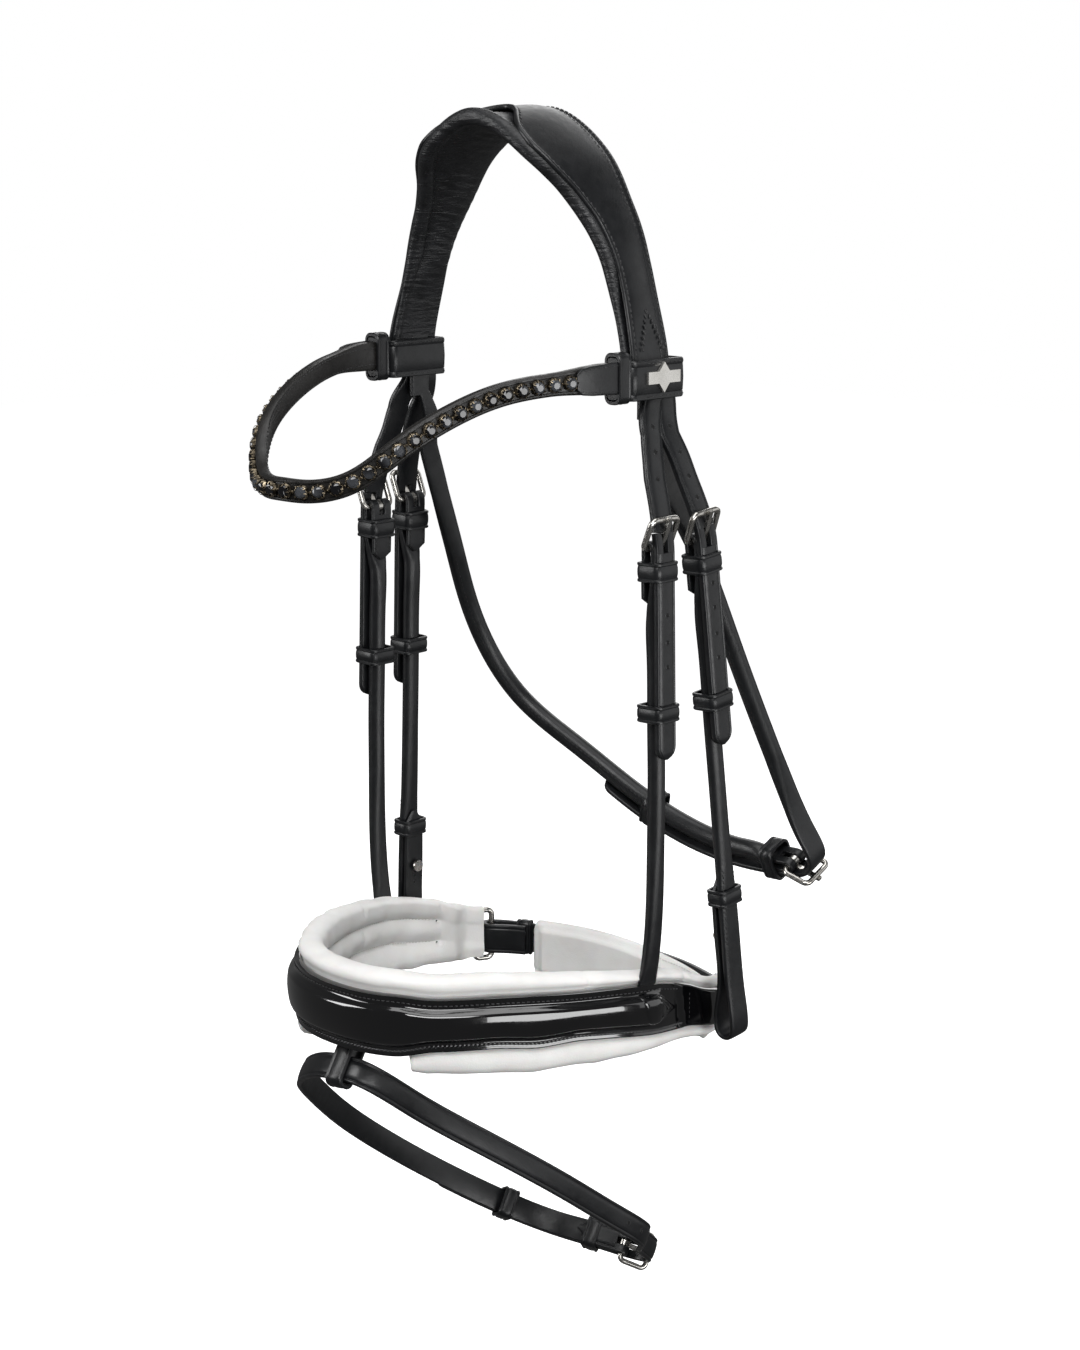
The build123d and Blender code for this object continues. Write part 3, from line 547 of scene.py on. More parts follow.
THREAD = Look("black thread", (0.02, 0.02, 0.021), 0.5, Specular_IOR_Level=0.5)
THREAD.colours((900, 2), (0.012, 0.012, 0.013), (0.04, 0.04, 0.042)).bump((2600, 2), 0.12)

WAXED = Look("waxed rope thread", (0.02, 0.02, 0.022), 0.16, Specular_IOR_Level=0.8, Coat_Weight=0.6)
WAXED.colours((700, 2), (0.012, 0.012, 0.013), (0.03, 0.03, 0.033)).bump((1800, 2), 0.05)

PALE = Look("white thread", (0.7, 0.69, 0.66), 0.6)
PALE.colours((900, 2), (0.56, 0.55, 0.52), (0.74, 0.73, 0.7)).bump((2400, 2), 0.1)

# Painted shade: a near-black disc stands for the shaded inside of each punched hole.
HOLE_SHADE = Look("painted hole shade", (0.002, 0.002, 0.002), 0.9)
HOLE_SHADE.colours((800, 2), (0.001, 0.001, 0.001), (0.004, 0.004, 0.004))

NICKEL = Look("satin nickel", (0.6, 0.58, 0.54), 0.24, Metallic=1.0)
NICKEL.colours((160, 4), (0.5, 0.48, 0.445), (0.68, 0.665, 0.63))
NICKEL.rough((700, 3, (1, 6, 1)), 0.17, 0.34).bump((420, 3), 0.05, 0.6)

# Badge nickel: a smooth brushed finish, with its base colour brightened and made partly diffuse as painted
# light, a lit copy of the satin nickel.
PAINTED_BRIGHT_NICKEL = Look("brushed nickel with painted brightness", (0.72, 0.7, 0.67), 0.3, Metallic=0.9)
PAINTED_BRIGHT_NICKEL.colours((90, 3), (0.68, 0.665, 0.63), (0.78, 0.765, 0.73)).rough((500, 3, (1, 1, 8)), 0.26, 0.36)

SETTING = Look("antique setting metal", (0.2, 0.16, 0.11), 0.34, Metallic=1.0)
SETTING.colours((420, 4), (0.05, 0.042, 0.032), (0.36, 0.3, 0.21), (0.38, 0.68))
SETTING.rough((900, 3), 0.24, 0.5).bump((1500, 3), 0.06)

CRYSTAL = Look("faceted black crystal", (0.02, 0.021, 0.024), 0.04, Specular_IOR_Level=0.5, IOR=1.6)
CRYSTAL.colours((95, 0), (0.004, 0.004, 0.005), (0.06, 0.064, 0.072), (0.42, 0.62))


def metal(node_name, look):
    """Shows a CAD piece itself, in metal."""
    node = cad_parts[node_name]
    node.data.materials.clear()
    node.data.materials.append(look.material)


for node_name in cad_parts:
    if "buckle" in node_name and "keeper" not in node_name:
        metal(node_name, NICKEL)
    elif node_name.startswith(("noseband_ring", "hook_stud")):
        metal(node_name, NICKEL)

# Crown --------------------------------------------------------------------------------------------

crown = spline(whole([CROWN_TOP] + CROWN_ARCH), 1.5)
crown_tangent = unit(np.gradient(crown, axis=0))
crown_out = np.c_[-crown_tangent[:, 1], crown_tangent[:, 0]]
crown_length = lengths(crown)
full_length = crown_length[-1]
crown_run = crown_length - full_length / 2
crown_far = np.abs(crown_run)
roll_y, piping_y, rear_y = (blurred(np.interp(crown_far, *table), 11)
                            for table in (CROWN_FRONT, CROWN_PIPING, CROWN_REAR))
CROWN_STITCH = (2.3, 0.8, 0.7)
POINT_SPAN, POINT_HALF, POINT_Y = (25, 4), 8.5, 16.0


def crown_rows(build):
    """Carries a (y, out) section along the arch."""
    rows = []
    for i, (point, out) in enumerate(zip(crown, crown_out)):
        y, far = np.array(build(i)).T
        rows.append(np.c_[point[0] + out[0] * far, y, point[1] + out[1] * far])
    return rows


def padding_section(i):
    """Rolled front edge, then a full lining with ripples across it, up to the rear edge."""
    front, rear = roll_y[i], rear_y[i] - 0.8
    full = 1 - smooth(crown_far[i], 98, 128)
    r = 1.9 + 2.3 * full
    rim = [(front + r - r * sin(a), -0.5 + r * cos(a)) for a in np.linspace(-0.5, pi + 0.35, 13)]
    start = front + 2 * r
    under = []
    for k in np.linspace(0.01, 0.93, 16):
        ripple = 0.3 * sin(1.1 * crown_run[i] + 9 * k)
        under.append((start + (rear - start) * k, -1.5 - full * (0.1 + (4.6 + ripple) * sin(pi * k) ** 0.6)))
    return rim + under + [(rear - 0.3, -1.8), (rear, -0.9), (rear - 0.6, 0.6), (rear - 5, 1.4),
                          ((start + rear) / 2, 1.5), (start + 1, 1.5)]


def panel_section(i):
    """Piped front edge, crowned face and creased rear edge."""
    front, rear = piping_y[i], rear_y[i]
    full = 1 - smooth(crown_far[i], 118, 146)
    width = rear - front
    pipe = [(front + 1.2 - 1.45 * sin(a), 3.9 + 1.45 * cos(a)) for a in np.linspace(pi * 0.95, -0.75, 9)]
    face = [(front + 3.4, 3.7), (front + 4.4, 4.0)]
    face += [(front + 4.4 + (width - 9.4) * k, 4.0 + 1.1 * full * sin(pi * k) ** 0.8)
             for k in np.linspace(0.06, 0.94, 11)]
    edge = [(rear - 5.0, 4.0), (rear - 4.4, 3.75), (rear - 3.9, 4.0), (rear - 0.9, 3.8), (rear - 0.2, 3.2),
            (rear, 2.4), (rear - 0.6, 1.8), (front + 2.5, 1.8)]
    return pipe + face + edge


def crown_line(y, out):
    """A line across the panel's face, at a distance in y and out from the arch."""
    path = crown + crown_out * out
    none = np.zeros(len(crown))
    path, along, outward = (np.c_[v[:, 0], y_part, v[:, 1]]
                            for v, y_part in ((path, y), (crown_tangent, none), (crown_out, none)))
    return path, along, outward, np.tile([0.0, 1.0, 0.0], (len(crown), 1)), crown_length


shape = Shape()
shape.grid(crown_rows(padding_section))
piece("crown_padding", shape, [CROWN_LINING], "headpiece", sharp=60)

shape = Shape()
shape.grid(crown_rows(panel_section))
for y, out in ((rear_y - 2.3, 4.05), (rear_y - 6.4, 4.05), (piping_y + 3.6, 3.95)):
    shape.stitches(crown_line(y, out), 0, 0, (1, full_length - 1), size=CROWN_STITCH)
# Stitched point above each loop
for tip, foot in (POINT_SPAN, (full_length - POINT_SPAN[0], full_length - POINT_SPAN[1])):
    share = np.clip((crown_length - tip) / (foot - tip), 0, 1)
    for spread in (-POINT_HALF, POINT_HALF):
        shape.stitches(crown_line(POINT_Y + spread * share, 4.9), 0, 0, sorted((tip, foot)), pitch=2.5,
                       size=(2.3, 0.95, 0.9), slant=20 * np.sign(spread) * np.sign(tip - foot))
piece("crown_panel", shape, [BLACK, THREAD], "headpiece", sharp=50)

# Headpiece straps, hangers, cheekpieces -----------------------------------------------------------

LEAN_TOP = {"front": 9.0, "rear": -5.5}
DRIFT = {"front": ((-189, -181, -164, -144, -130, -100), (0, 1, 2.4, 7.2, 5.2, 4.7)),
         "rear": ((-189, -164, -144, -130, -100), (0, -3, -4.6, -1.0, 1.5))}
HOLE_PLACES = {"front": (50, 37.6, 25.2, -39, -51.4, -63.8),
               "rear": (48.8, 37.0, 25.4, 14.6, -27, -39.6, -52.2, -65.4)}
STRIP = oval(4.8, 2.25, 5)
SEWN_LAYERS = ((-7.9, 3.7), 6.75)
FINE_STITCH = (1.7, 0.5, 0.45)
SEAM_STITCH = (1.7, 0.45, 0.35)


def billet(shape, plane, top, kind):
    """A billet from inside the browband loop, through its buckle, to its rounded tip."""
    u, v = plane.local(top)
    above = [np.add(top, [0, LEAN_TOP[kind], 31]), np.add(top, [0, LEAN_TOP[kind] * 0.8, 11])]
    path = spline(above + plane.points([(u + 3.8, v), (-8.6, 35), (-5.2, 24), (-1.4, 11), (0.8, 1), (1.9, -7),
                                        (2, -13), (2, -30), (2, -60), (2, -90), (2, -110)]), 1.2)
    path[:, 1] += np.interp(path[:, 2], *DRIFT[kind])
    run = lengths(path)
    height = np.array([plane.local(p)[1] for p in path])
    gap = np.where((height < 0.5) & (height > -9.0))[0]
    scale = np.c_[rounded_tip(run), 1 - 0.35 * smooth(run, run[-1] - 3, run[-1])]
    strip = creased(4.9, BILLET_THICKNESS, crown=0.2, crease=1.4)
    track = shape.slotted(path, plane.z, creased(STRAP_WIDTH, BILLET_THICKNESS, crown=0.5),
                          [(gap[0], gap[-1] + 1, strip)], -1, scale, 4.05)
    shape.holes(track, [np.interp(-h, -height, run) for h in HOLE_PLACES[kind]], BILLET_THICKNESS / 2 + 0.52)


def strap_body(shape, plane, lower, lower_sizes):
    """A strap that rises to its buckle: lower points and sizes, then the turned end and its pointed tip."""
    points = lower + [(-0.9, -24), (-0.3, -13)] + CHAPE + [(-5.9, -14), (-6.3, -22), (-6.5, -31), (-6.5, -35)]
    points = plane.points(points)
    path = spline(points, 1.2)
    sizes = lower_sizes + [(13, 2.6, 5), (13, 2.4, 6)] + [(13, 2.3, 6)] * len(CHAPE) + [(13, 2.2, 6)] * 2
    sizes += [(12.6, 2.0, 6), (2.0, 1.4, 5)]
    marks, width, thickness, power = sized(path, points, sizes)
    ends = marks[len(lower) + 2] - 3.0, marks[len(lower) + 1 + len(CHAPE)] + 3.0
    cut = (*np.searchsorted(lengths(path), ends), STRIP)
    track = shape.slotted(path, plane.z, oval(width, thickness, power), [cut])
    for across in (-4.9, 4.9):
        shape.stitches(track, across * np.clip(width / STRAP_WIDTH, 0.2, 1), 1.15,
                       (marks[-1] - 17, marks[-1] - 2), pitch=2.4, size=FINE_STITCH)
    return track, marks, width, thickness


for side, tag in SIDES:
    front = column(side, FRONT_BUCKLE, FRONT_LEAN, FRONT_BACK_LEAN)
    rear = column(side, REAR_BUCKLE, REAR_LEAN, REAR_BACK_LEAN[side])
    turn = [(side * STRAP_X, MIDDLE_Y, -128), (side * STRAP_X, MIDDLE_Y, -156)]

    for strap, plane, y, kind, body in (("noseband", front, FRONT_Y, "front", "noseband_headstall"),
                                        ("cheek", rear, REAR_Y, "rear", f"cheek_{tag}")):
        shape = Shape()
        billet(shape, plane, (side * STRAP_X, y, SWING_Z), kind)
        piece(f"{strap}_billet_{tag}", shape, [BLACK, THREAD, HOLE_SHADE], ("headpiece", body), blend=turn)

    # Sewn head of the three tails, inside the browband loop
    shape = Shape()
    head = spline([(side * STRAP_X, MIDDLE_Y, z) for z in (-108.5, -113, -118, -124)], 1.5)
    widths = np.interp(-head[:, 2], (108, 124), (31, 29))
    shape.sweep(head, (0, 1, 0), oval(widths, BILLET_THICKNESS, 8), -side)
    middle = spline([(side * MIDDLE_X, MIDDLE_Y, z) for z in (-98, -112, -126, -137)], 1.5)
    shape.sweep(middle, (0, 1, 0), creased(STRAP_WIDTH - 1, BILLET_THICKNESS), side)
    piece(f"headpiece_strap_{tag}", shape, [BLACK], "headpiece")

    # Noseband hanger: flat end tab, roll, turned end
    u, v = front.local((side * HANGER_PIVOT[0], *HANGER_PIVOT[1:]))
    lower = [(u - 5.2, v - 6), (u - 4.3, v - 1), (u - 2.4, v + 9), (-4.6, -150), (-3.9, -120), (-3.9, -90),
             (-3.9, -60), (-3.8, -40)]
    sizes = [(10.0, 1.8, 4), (12.4, 2.4, 4), (10.8, 5.6, 2.6)] + [(8.8, 8.6, 2)] * 4 + [(9.6, 7.4, 2.2)]
    shape = Shape()
    track, marks, width, thickness = strap_body(shape, front, lower, sizes)
    shape.stitches(track, width * 0.33 * side, thickness * 0.33, (marks[2], marks[7]), pitch=2.6,
                   size=SEAM_STITCH)
    piece(f"noseband_hanger_{tag}", shape, [ROLLED, THREAD], "noseband_headstall")

    # Cheekpiece: inner return, folded bit loop, flat sewn end, roll, turned end
    lower = [(-7.3, -181), (-7.3, -188), (-7.4, -215), (-8.4, -240)] + arc((-6.9, BIT_V), 5.2, 180, 360, 9)
    lower += [(-2.2, -245), (-2.9, -215), (-3.1, -190), (-3.5, -172), (-3.7, -130), (-3.7, -90), (-3.7, -60),
              (-3.6, -40)]
    sizes = [(3.0, 2.0, 3), (12.4, 2.6, 5), (12.8, 2.6, 5), (13.0, 2.4, 5)] + [(13.0, 2.3, 5)] * 9
    sizes += [(13.0, 3.4, 3.6), (13.0, 4.4, 3.0), (12.4, 4.9, 2.8), (10.6, 6.4, 2.3)] + [(9.8, 7.2, 2.1)] * 4
    shape = Shape()
    track, marks, width, thickness = strap_body(shape, rear, lower, sizes)
    for across in (-1, 1):
        shape.stitches(track, across * (width / 2 - 1.7), thickness * 0.40, (marks[13] - 6, marks[16] - 2),
                       pitch=2.7, size=(2.0, 0.75, 0.6), slant=14 * across)
    shape.stitches(track, width * 0.34 * side, thickness * 0.33, (marks[16], marks[20]), pitch=2.6,
                   size=SEAM_STITCH)
    shape.holes(track, [marks[1] + place for place in (24.5, 27, 30, 33)], 1.32, radius=0.8)
    piece(f"cheekpiece_{tag}", shape, [ROLLED, THREAD, HOLE_SHADE], f"cheek_{tag}")

    for name, plane, top, spans, height, body in (
            ("noseband_upper_keeper", front, SEWN_KEEPER_TOP, SEWN_LAYERS, SEWN_KEEPER_HEIGHT,
             "noseband_headstall"),
            ("noseband_lower_keeper", front, LOOSE_KEEPER_TOP, ((-8.7, 3.95), 6.95), KEEPER_HEIGHT,
             f"noseband_keeper_{tag}"),
            ("cheek_upper_keeper", rear, SEWN_KEEPER_TOP, SEWN_LAYERS, SEWN_KEEPER_HEIGHT, f"cheek_{tag}"),
            ("cheek_lower_keeper", rear, LOOSE_KEEPER_TOP, ((-7.9, 3.95), 6.95), KEEPER_HEIGHT,
             f"cheek_keeper_{tag}"),
            ("bit_end_keeper", rear, BIT_KEEPER_TOP, ((-8.9, -0.1), 6.75), KEEPER_HEIGHT, f"cheek_{tag}")):
        keeper_piece(f"{name}_{tag}", body, plane, top, spans, height, KEEPER_WALL)

# Browband -----------------------------------------------------------------------------------------

brow_track = track_of(spline(whole(BROW_LINE), 1.4), (0, 0, 1))
brow, brow_t, brow_out, brow_up, brow_run = brow_track
tall, deep = BROW_HEIGHT / 2, BROW_THICKNESS / 2
face = mirrored([(tall - 0.2, -deep + 0.2), (tall, -deep + 0.8), (tall, deep - 0.9),
                 (tall - 0.25, deep - 0.3), (tall - 0.9, deep + 0.15), (tall - 1.6, deep + 0.1),
                 (tall - 1.9, deep - 0.35), (tall - 2.2, deep - 0.3), (0, deep - 0.25)])
lining_back = [(-tall + 1.2, -deep - 0.15), (0, -deep - 0.45), (tall - 1.2, -deep - 0.15)]
section = np.array(face + lining_back)
flare = 1 + 0.36 * (1 - smooth(np.minimum(brow_run, brow_run[-1] - brow_run), 10, 42))
shape = Shape()
shape.grid(brow[:, None] + brow_up[:, None] * (section[None, :, :1] * flare[:, None, None])
           + brow_out[:, None] * section[None, :, 1:])
for across in (-4.1, 4.1):
    shape.stitches(brow_track, across, -deep - 0.22, (3, brow_run[-1] - 3), pitch=2.8, size=(1.9, 0.5, 0.35))
# The band's folded end beside each loop: a tab with a clipped tip and stitched border
for first, last in ((1, 29), (brow_run[-1] - 29, brow_run[-1] - 1)):
    part = np.where((brow_run >= first) & (brow_run <= last))[0]
    run = brow_run[part] - brow_run[part][0]
    share = run / run[-1] if first == 1 else 1 - run / run[-1]
    width = np.interp(share, (0, 0.7, 0.92, 1), (15.5, 14.0, 12.4, 7.0))
    tab = oval(width, 1.8, 6)
    lift = deep + 1.1
    up, out = brow_up[part][:, None], brow_out[part][:, None]
    shape.grid(brow[part][:, None] + out * lift + up * tab[..., :1] + out * tab[..., 1:], 2)
    for across in (-1, 1):
        shape.stitches((*(v[part] for v in brow_track[:4]), run), across * (width / 2 - 1.5), lift + 0.95,
                       (1, run[-1] - 1), pitch=2.6, size=(1.8, 0.5, 0.4))
piece("browband", shape, [BROWN, THREAD, BLACK], "browband", sharp=35)

gems, cups = Shape(), Shape()
eighths = np.linspace(0, 2 * pi, 8, endpoint=False)
sixteenths = np.linspace(0, 2 * pi, 16, endpoint=False)
for index in range(GEM_COUNT):
    place = (0.085 + 0.83 * index / (GEM_COUNT - 1)) * brow_run[-1]
    i = int(np.searchsorted(brow_run, place))
    k = (place - brow_run[i - 1]) / (brow_run[i] - brow_run[i - 1])
    centre = brow[i - 1] * (1 - k) + brow[i] * k + brow_out[i] * (deep - 0.1)
    axes = ex, ey, ez = brow_t[i], brow_up[i], brow_out[i]
    turn = 0.7 * index
    gems.grid([circle(centre, axes, r, eighths + turn + half_step, z) for r, z, half_step in (
        (2.8, 1.0, 0), (2.95, 2.0, pi / 8), (2.45, 3.0, 0), (1.55, 3.6, pi / 8))])
    cup = [circle(centre, axes, r + 0.18 * np.cos(8 * sixteenths) * (z > 0.4), sixteenths, z)
           for r, z in ((3.4, 0.0), (3.65, 0.8), (3.3, 2.0), (3.02, 2.15), (2.97, 1.3))]
    cups.grid(cup, ends=False)
    # Teeth bent over the stone
    for a in eighths + turn:
        d = ex * cos(a) + ey * sin(a)
        w = -ex * sin(a) + ey * cos(a)
        levels = ((centre + d * 3.5 + ez * 0.7, 0.55, d * 0.25), (centre + d * 3.3 + ez * 2.6, 0.42, d * 0.3),
                  (centre + d * 2.5 + ez * 3.2, 0.22, ez * 0.22))
        cups.grid([[p + w * s * half + thick * b for s, b in ((1, 0), (0.5, 1), (-0.5, 1), (-1, 0))]
                   for p, half, thick in levels])
    for sign in (-1, 1):
        bead = centre + ex * 4.15 * sign + ez * 0.35
        cups.grid([circle(bead, axes, r, eighths, z, 1.5)
                   for r, z in ((0.42, 0.0), (0.5, 0.3), (0.36, 0.62), (0.1, 0.76))])
piece("browband_crystals", gems, [CRYSTAL], "browband", "crystal", 5, kind="cut")
piece("crystal_settings", cups, [SETTING], "browband", "setting", 30, kind="toothed")

for side, tag in SIDES:
    plane = Flat((side * LOOP_CENTRE[0], *LOOP_CENTRE[1:]), (side, 0, 0), (0, -side, 0))
    rim = rounded(0, 0, *LOOP_HALF_SIZE, 1.4, 7)
    h = LOOP_HALF_HEIGHT
    shape = Shape()
    profile = mirrored([(-h, 0.1), (-h, 1.5), (-h + 0.5, 2.05), (-h + 2.6, 2.05), (-h + 3.0, 1.8),
                        (-h + 3.4, 2.0), (0, 2.25)])
    shape.band(plane, rim, profile + [(h - 0.4, 0.0), (-h + 0.4, 0.0)])
    seam = np.array([plane.at(u + nu * 2.0, 0, w + nw * 2.0) for (u, w), (nu, nw) in zip(*rim)])
    seam = np.vstack([np.linspace(a, b, 12, endpoint=False) for a, b in zip(seam, np.roll(seam, -1, axis=0))])
    for across in (-h + 1.6, h - 1.6):
        shape.stitches(track_of(seam, plane.y, -1), across, 0.12, (2, lengths(seam)[-1] - 2), pitch=2.8,
                       size=(1.9, 0.55, 0.45))
    # Raised keeper over the band's end at the front of the loop, and what fills it
    plane = Flat((side * 82.6, -8.5, -115.5), (side, 0, 0), (0, 0, side))
    rim = rounded(0.4, 0, 3.5, 10.6, 2.2)
    profile = mirrored([(-4.2, 0.0), (-4.2, 1.2), (-3.7, 1.7), (-2.9, 1.7), (-2.4, 1.4), (0, 1.75)])
    shape.band(plane, rim, profile)
    shape.grid([[plane.at(u * k, v, w * k) for u, w in rim[0]]
                for k, v in ((0.93, -3.9), (0.99, -3.2), (0.99, 3.2), (0.93, 3.9))])
    piece(f"browband_loop_{tag}", shape, [BLACK, THREAD], "browband", sharp=35)

metal("loop_badge", PAINTED_BRIGHT_NICKEL)

# Noseband -----------------------------------------------------------------------------------------

nose = spline(whole(NOSE_PLAN), 1.5)
nose_t = unit(np.gradient(nose, axis=0))
nose_n = np.c_[nose_t[:, 1], -nose_t[:, 0]]
nose_run = lengths(nose)
nose_far = np.abs(nose_run - nose_run[-1] / 2)
nose_along, nose_out = np.c_[nose_t, np.zeros(len(nose))], np.c_[nose_n, np.zeros(len(nose))]
top_z = blurred(np.interp(nose[:, 1], *np.array(NOSE_TOP)[::-1].T), 13)
low_z = blurred(np.interp(nose[:, 1], *np.array(NOSE_BOTTOM).T), 13)


def upright(index, out, z):
    """Points at an outward distance and height on the noseband's plan."""
    out = np.broadcast_to(out, np.shape(z))
    return np.c_[nose[index, 0] + nose_n[index, 0] * out, nose[index, 1] + nose_n[index, 1] * out, z]


def shell_out(i, z):
    """Outward distance of the shell's face at a height."""
    high, low = top_z[i], low_z[i]
    height = high - low
    edge = np.minimum(high - z, z - low)
    domed = 1 - smooth(nose_far[i], 168, 190)
    border = 5.2 + (height / 2 - 5.2) * smooth(nose_far[i], 170, 190)
    rise = smooth(edge, border - 0.6, border + 3.0)
    out = 1.75 + domed * rise * (0.9 + 3.2 * (1 - ((z - (high + low) / 2) / (height / 2)) ** 2))
    overlay = 189 + 5 * (high - z) / height
    ends = smooth(nose_far[i], overlay, overlay + 1.3) * (1 - smooth(nose_far[i], SHELL_END - 2.5, SHELL_END))
    out += 1.3 * ends * smooth(edge, 0.6, 1.8)
    out -= 0.3 * np.exp(-((edge - border) / 0.5) ** 2) * domed
    return out + 0.35 * np.exp(-((edge - 1.0) / 0.8) ** 2)


def nose_line(out, z, inside=False):
    """A line along the noseband, for stitches on its outer face or inside it."""
    path = np.c_[nose + nose_n * out, z]
    along = nose_along if inside else unit(np.gradient(path, axis=0))
    return path, along, -nose_out if inside else nose_out, np.tile([0.0, 0.0, 1.0], (len(nose), 1)), nose_run


shell_rows = []
for i in np.where(nose_far < SHELL_END)[0]:
    z = np.linspace(top_z[i], low_z[i], 46)
    out = shell_out(i, z)
    out[[0, -1]] = 0.0
    shell_rows.append(np.vstack([upright(i, out, z), upright(i, -1.6, z[[-2, 30, 15, 1]])]))
shape = Shape()
shape.grid(shell_rows)
middle_run = nose_run[-1] / 2
span = (middle_run - SHELL_END + 3, middle_run + SHELL_END - 3)
shape.stitches(nose_line(2.0, top_z - 3.4), 0, 0, span, pitch=2.5, size=(1.8, 0.6, 0.5))
shape.stitches(nose_line(2.1, low_z + 3.3), 0, 0, span, pitch=2.1, size=(2.5, 0.95, 0.9), slant=32, mat=2)
for end in (middle_run - END_SEAM, middle_run + END_SEAM):
    i = int(np.searchsorted(nose_run, end))
    z = np.linspace(top_z[i] - 4.5, low_z[i] + 4.5, 20)
    inward = nose_t[i] * 1.6 * np.sign(nose[i, 0])
    line = np.c_[np.full((20, 2), nose[i] + inward + nose_n[i] * 2.9), z]
    shape.stitches(track_of(line, nose_along[i]), 0, 0, (0.5, lengths(line)[-1]), pitch=2.4,
                   size=(1.7, 0.55, 0.45))
piece("noseband", shape, [PATENT, THREAD, WAXED], "noseband", "patent", 60, kind="patent")


def nose_padding(i):
    """Section of the padding: rolled top edge, three channels between seams, rolled lower edge."""
    high, low, far = top_z[i], low_z[i], nose_far[i]
    height = high - low
    flap = smooth(far, 197, 203)
    pinch = 1 - sum(0.25 * np.exp(-((far - s) / 1.6) ** 2) for s in PAD_SEAMS)
    depth = PAD_DEPTH - 8.0 * smooth(far, 208, 226)
    rise, drop = np.interp(far, *PAD_RISE), np.interp(far, *PAD_DROP)
    r, wide = rise / 2, depth / 2 - 0.1
    roll = [(-0.2 - wide + wide * pinch * cos(a), high + r + (r + 0.2) * sin(a))
            for a in np.linspace(-0.75, pi + 0.1, 15)]
    roll = [(min(out, 0.4 if z > high + 0.5 else -2.3), z) for out, z in roll]
    foot, seam_high, seam_low = low - drop, high - height * 0.25, low + height * 0.25
    bulge, inset = 3.0 * (1 - flap) * pinch, 2.6 * (1 - flap) + 0.6
    inner = [(-depth + inset * k ** 3, high + (seam_high - high) * k) for k in (0.0, 0.35, 0.65, 0.85, 1.0)]
    inner += [(-depth + inset - bulge * sin(pi * k) ** 0.75, seam_high + (seam_low - seam_high) * k)
              for k in np.linspace(0.08, 0.92, 9)]
    inner += [(-depth + inset * (1 - k) ** 3, seam_low + (foot + 2.5 - seam_low) * k)
              for k in (0.0, 0.15, 0.4, 0.75)]
    face = 0.3 if drop > 1 else -2.4
    bottom = [(-depth + 1.3, foot + 1.2), (-0.72 * depth, foot), (-0.42 * depth, foot - 0.3),
              (-1.6, foot + 0.9), (face, foot + 0.3 * max(drop, 4)), (face, low - 0.35 * max(drop, 0.5)),
              (-2.2, low + 0.4), (-2.4, low + 3), (-2.4, high - 3)]
    return np.array(roll + inner + bottom)


rows = np.array([upright(i, *nose_padding(i).T) for i in range(len(nose))])
rng = np.random.default_rng(7)
phases = rng.uniform(0, 2 * pi, (6, 3))
waves = rng.uniform(0.12, 0.42, (6, 3)) * rng.choice([-1, 1], (6, 3))
ripple = sum(np.sin(rows @ waves[k] + phases[k, 0]) for k in range(6)) * 0.11
rows = rows + nose_out[:, None] * ripple[..., None]
rows[..., 2] += ripple * 0.8
shape = Shape()
shape.grid(rows)
for share in (0.25, 0.75):
    z = top_z - (top_z - low_z) * share
    shape.stitches(nose_line(-10.9, z, True), 0, -0.6, (middle_run - 194, middle_run + 194), pitch=2.3,
                   size=(1.3, 0.35, 0.3))
    shape.holes(nose_line(-11.2, z, True), [middle_run - END_SEAM, middle_run + END_SEAM], 1.4, radius=0.6)
piece("noseband_padding", shape, [WHITE, PALE, HOLE_SHADE], "noseband", "white", 75, kind="soft")

# Patent pockets over the hanger tabs, lying on the shell
for side, tag in SIDES:
    spread = np.linspace(-1, 1, 19)
    fall = 1 - np.abs(spread) ** 12
    rows = []
    for k in np.linspace(0, 1, 22):
        z = COVER_TOP - COVER_SIZE[1] * k
        y = HANGER_PIVOT[1] + spread * COVER_SIZE[0] * np.sqrt(max(0.02, 1 - k ** 1.9))
        nearest = [np.argmin(np.hypot(nose[:, 0] - side * NOSE_PLAN[6][0], nose[:, 1] - v)) for v in y]
        x = np.array([abs(nose[i, 0]) + shell_out(i, z) for i in nearest]) + 0.75 * fall * smooth(k, 0, 0.08)
        outer = np.c_[side * x, y, np.full(19, z)]
        rows.append(np.vstack([outer, (outer - [side * 1.2, 0, 0])[::-1]]))
    shape = Shape()
    shape.grid(rows)
    piece(f"hanger_cover_{tag}", shape, [PATENT, THREAD], "noseband", "patent", 60, kind="patent")

# Leather loop that carries the flash strap
drop, roll_angle = radians(FLASH_DROP), radians(FLASH_ROLL)
flash_back = np.array([0, cos(drop), -sin(drop)])
flash_across = np.array([cos(roll_angle), 0, sin(roll_angle)])
flash_across = unit(flash_across - flash_back * (flash_across @ flash_back))
flash = Flat(FLASH_ORIGIN, flash_across, np.cross(flash_across, -flash_back))
shape = Shape()
shape.keeper(Flat(FLASH_ORIGIN - flash.z * 3.4, flash.y, flash.z), 5.2, ((-5.2, 1.8), 11.6), 10.4, 1.7, 2.6)
piece("flash_loop", shape, [BLACK], ("noseband", "flash_strap"), sharp=35,
      blend=((0, -108, -440.5), (0, -113.5, -446)))

# Crank strap, its keeper and the chin pad ---------------------------------------------------------

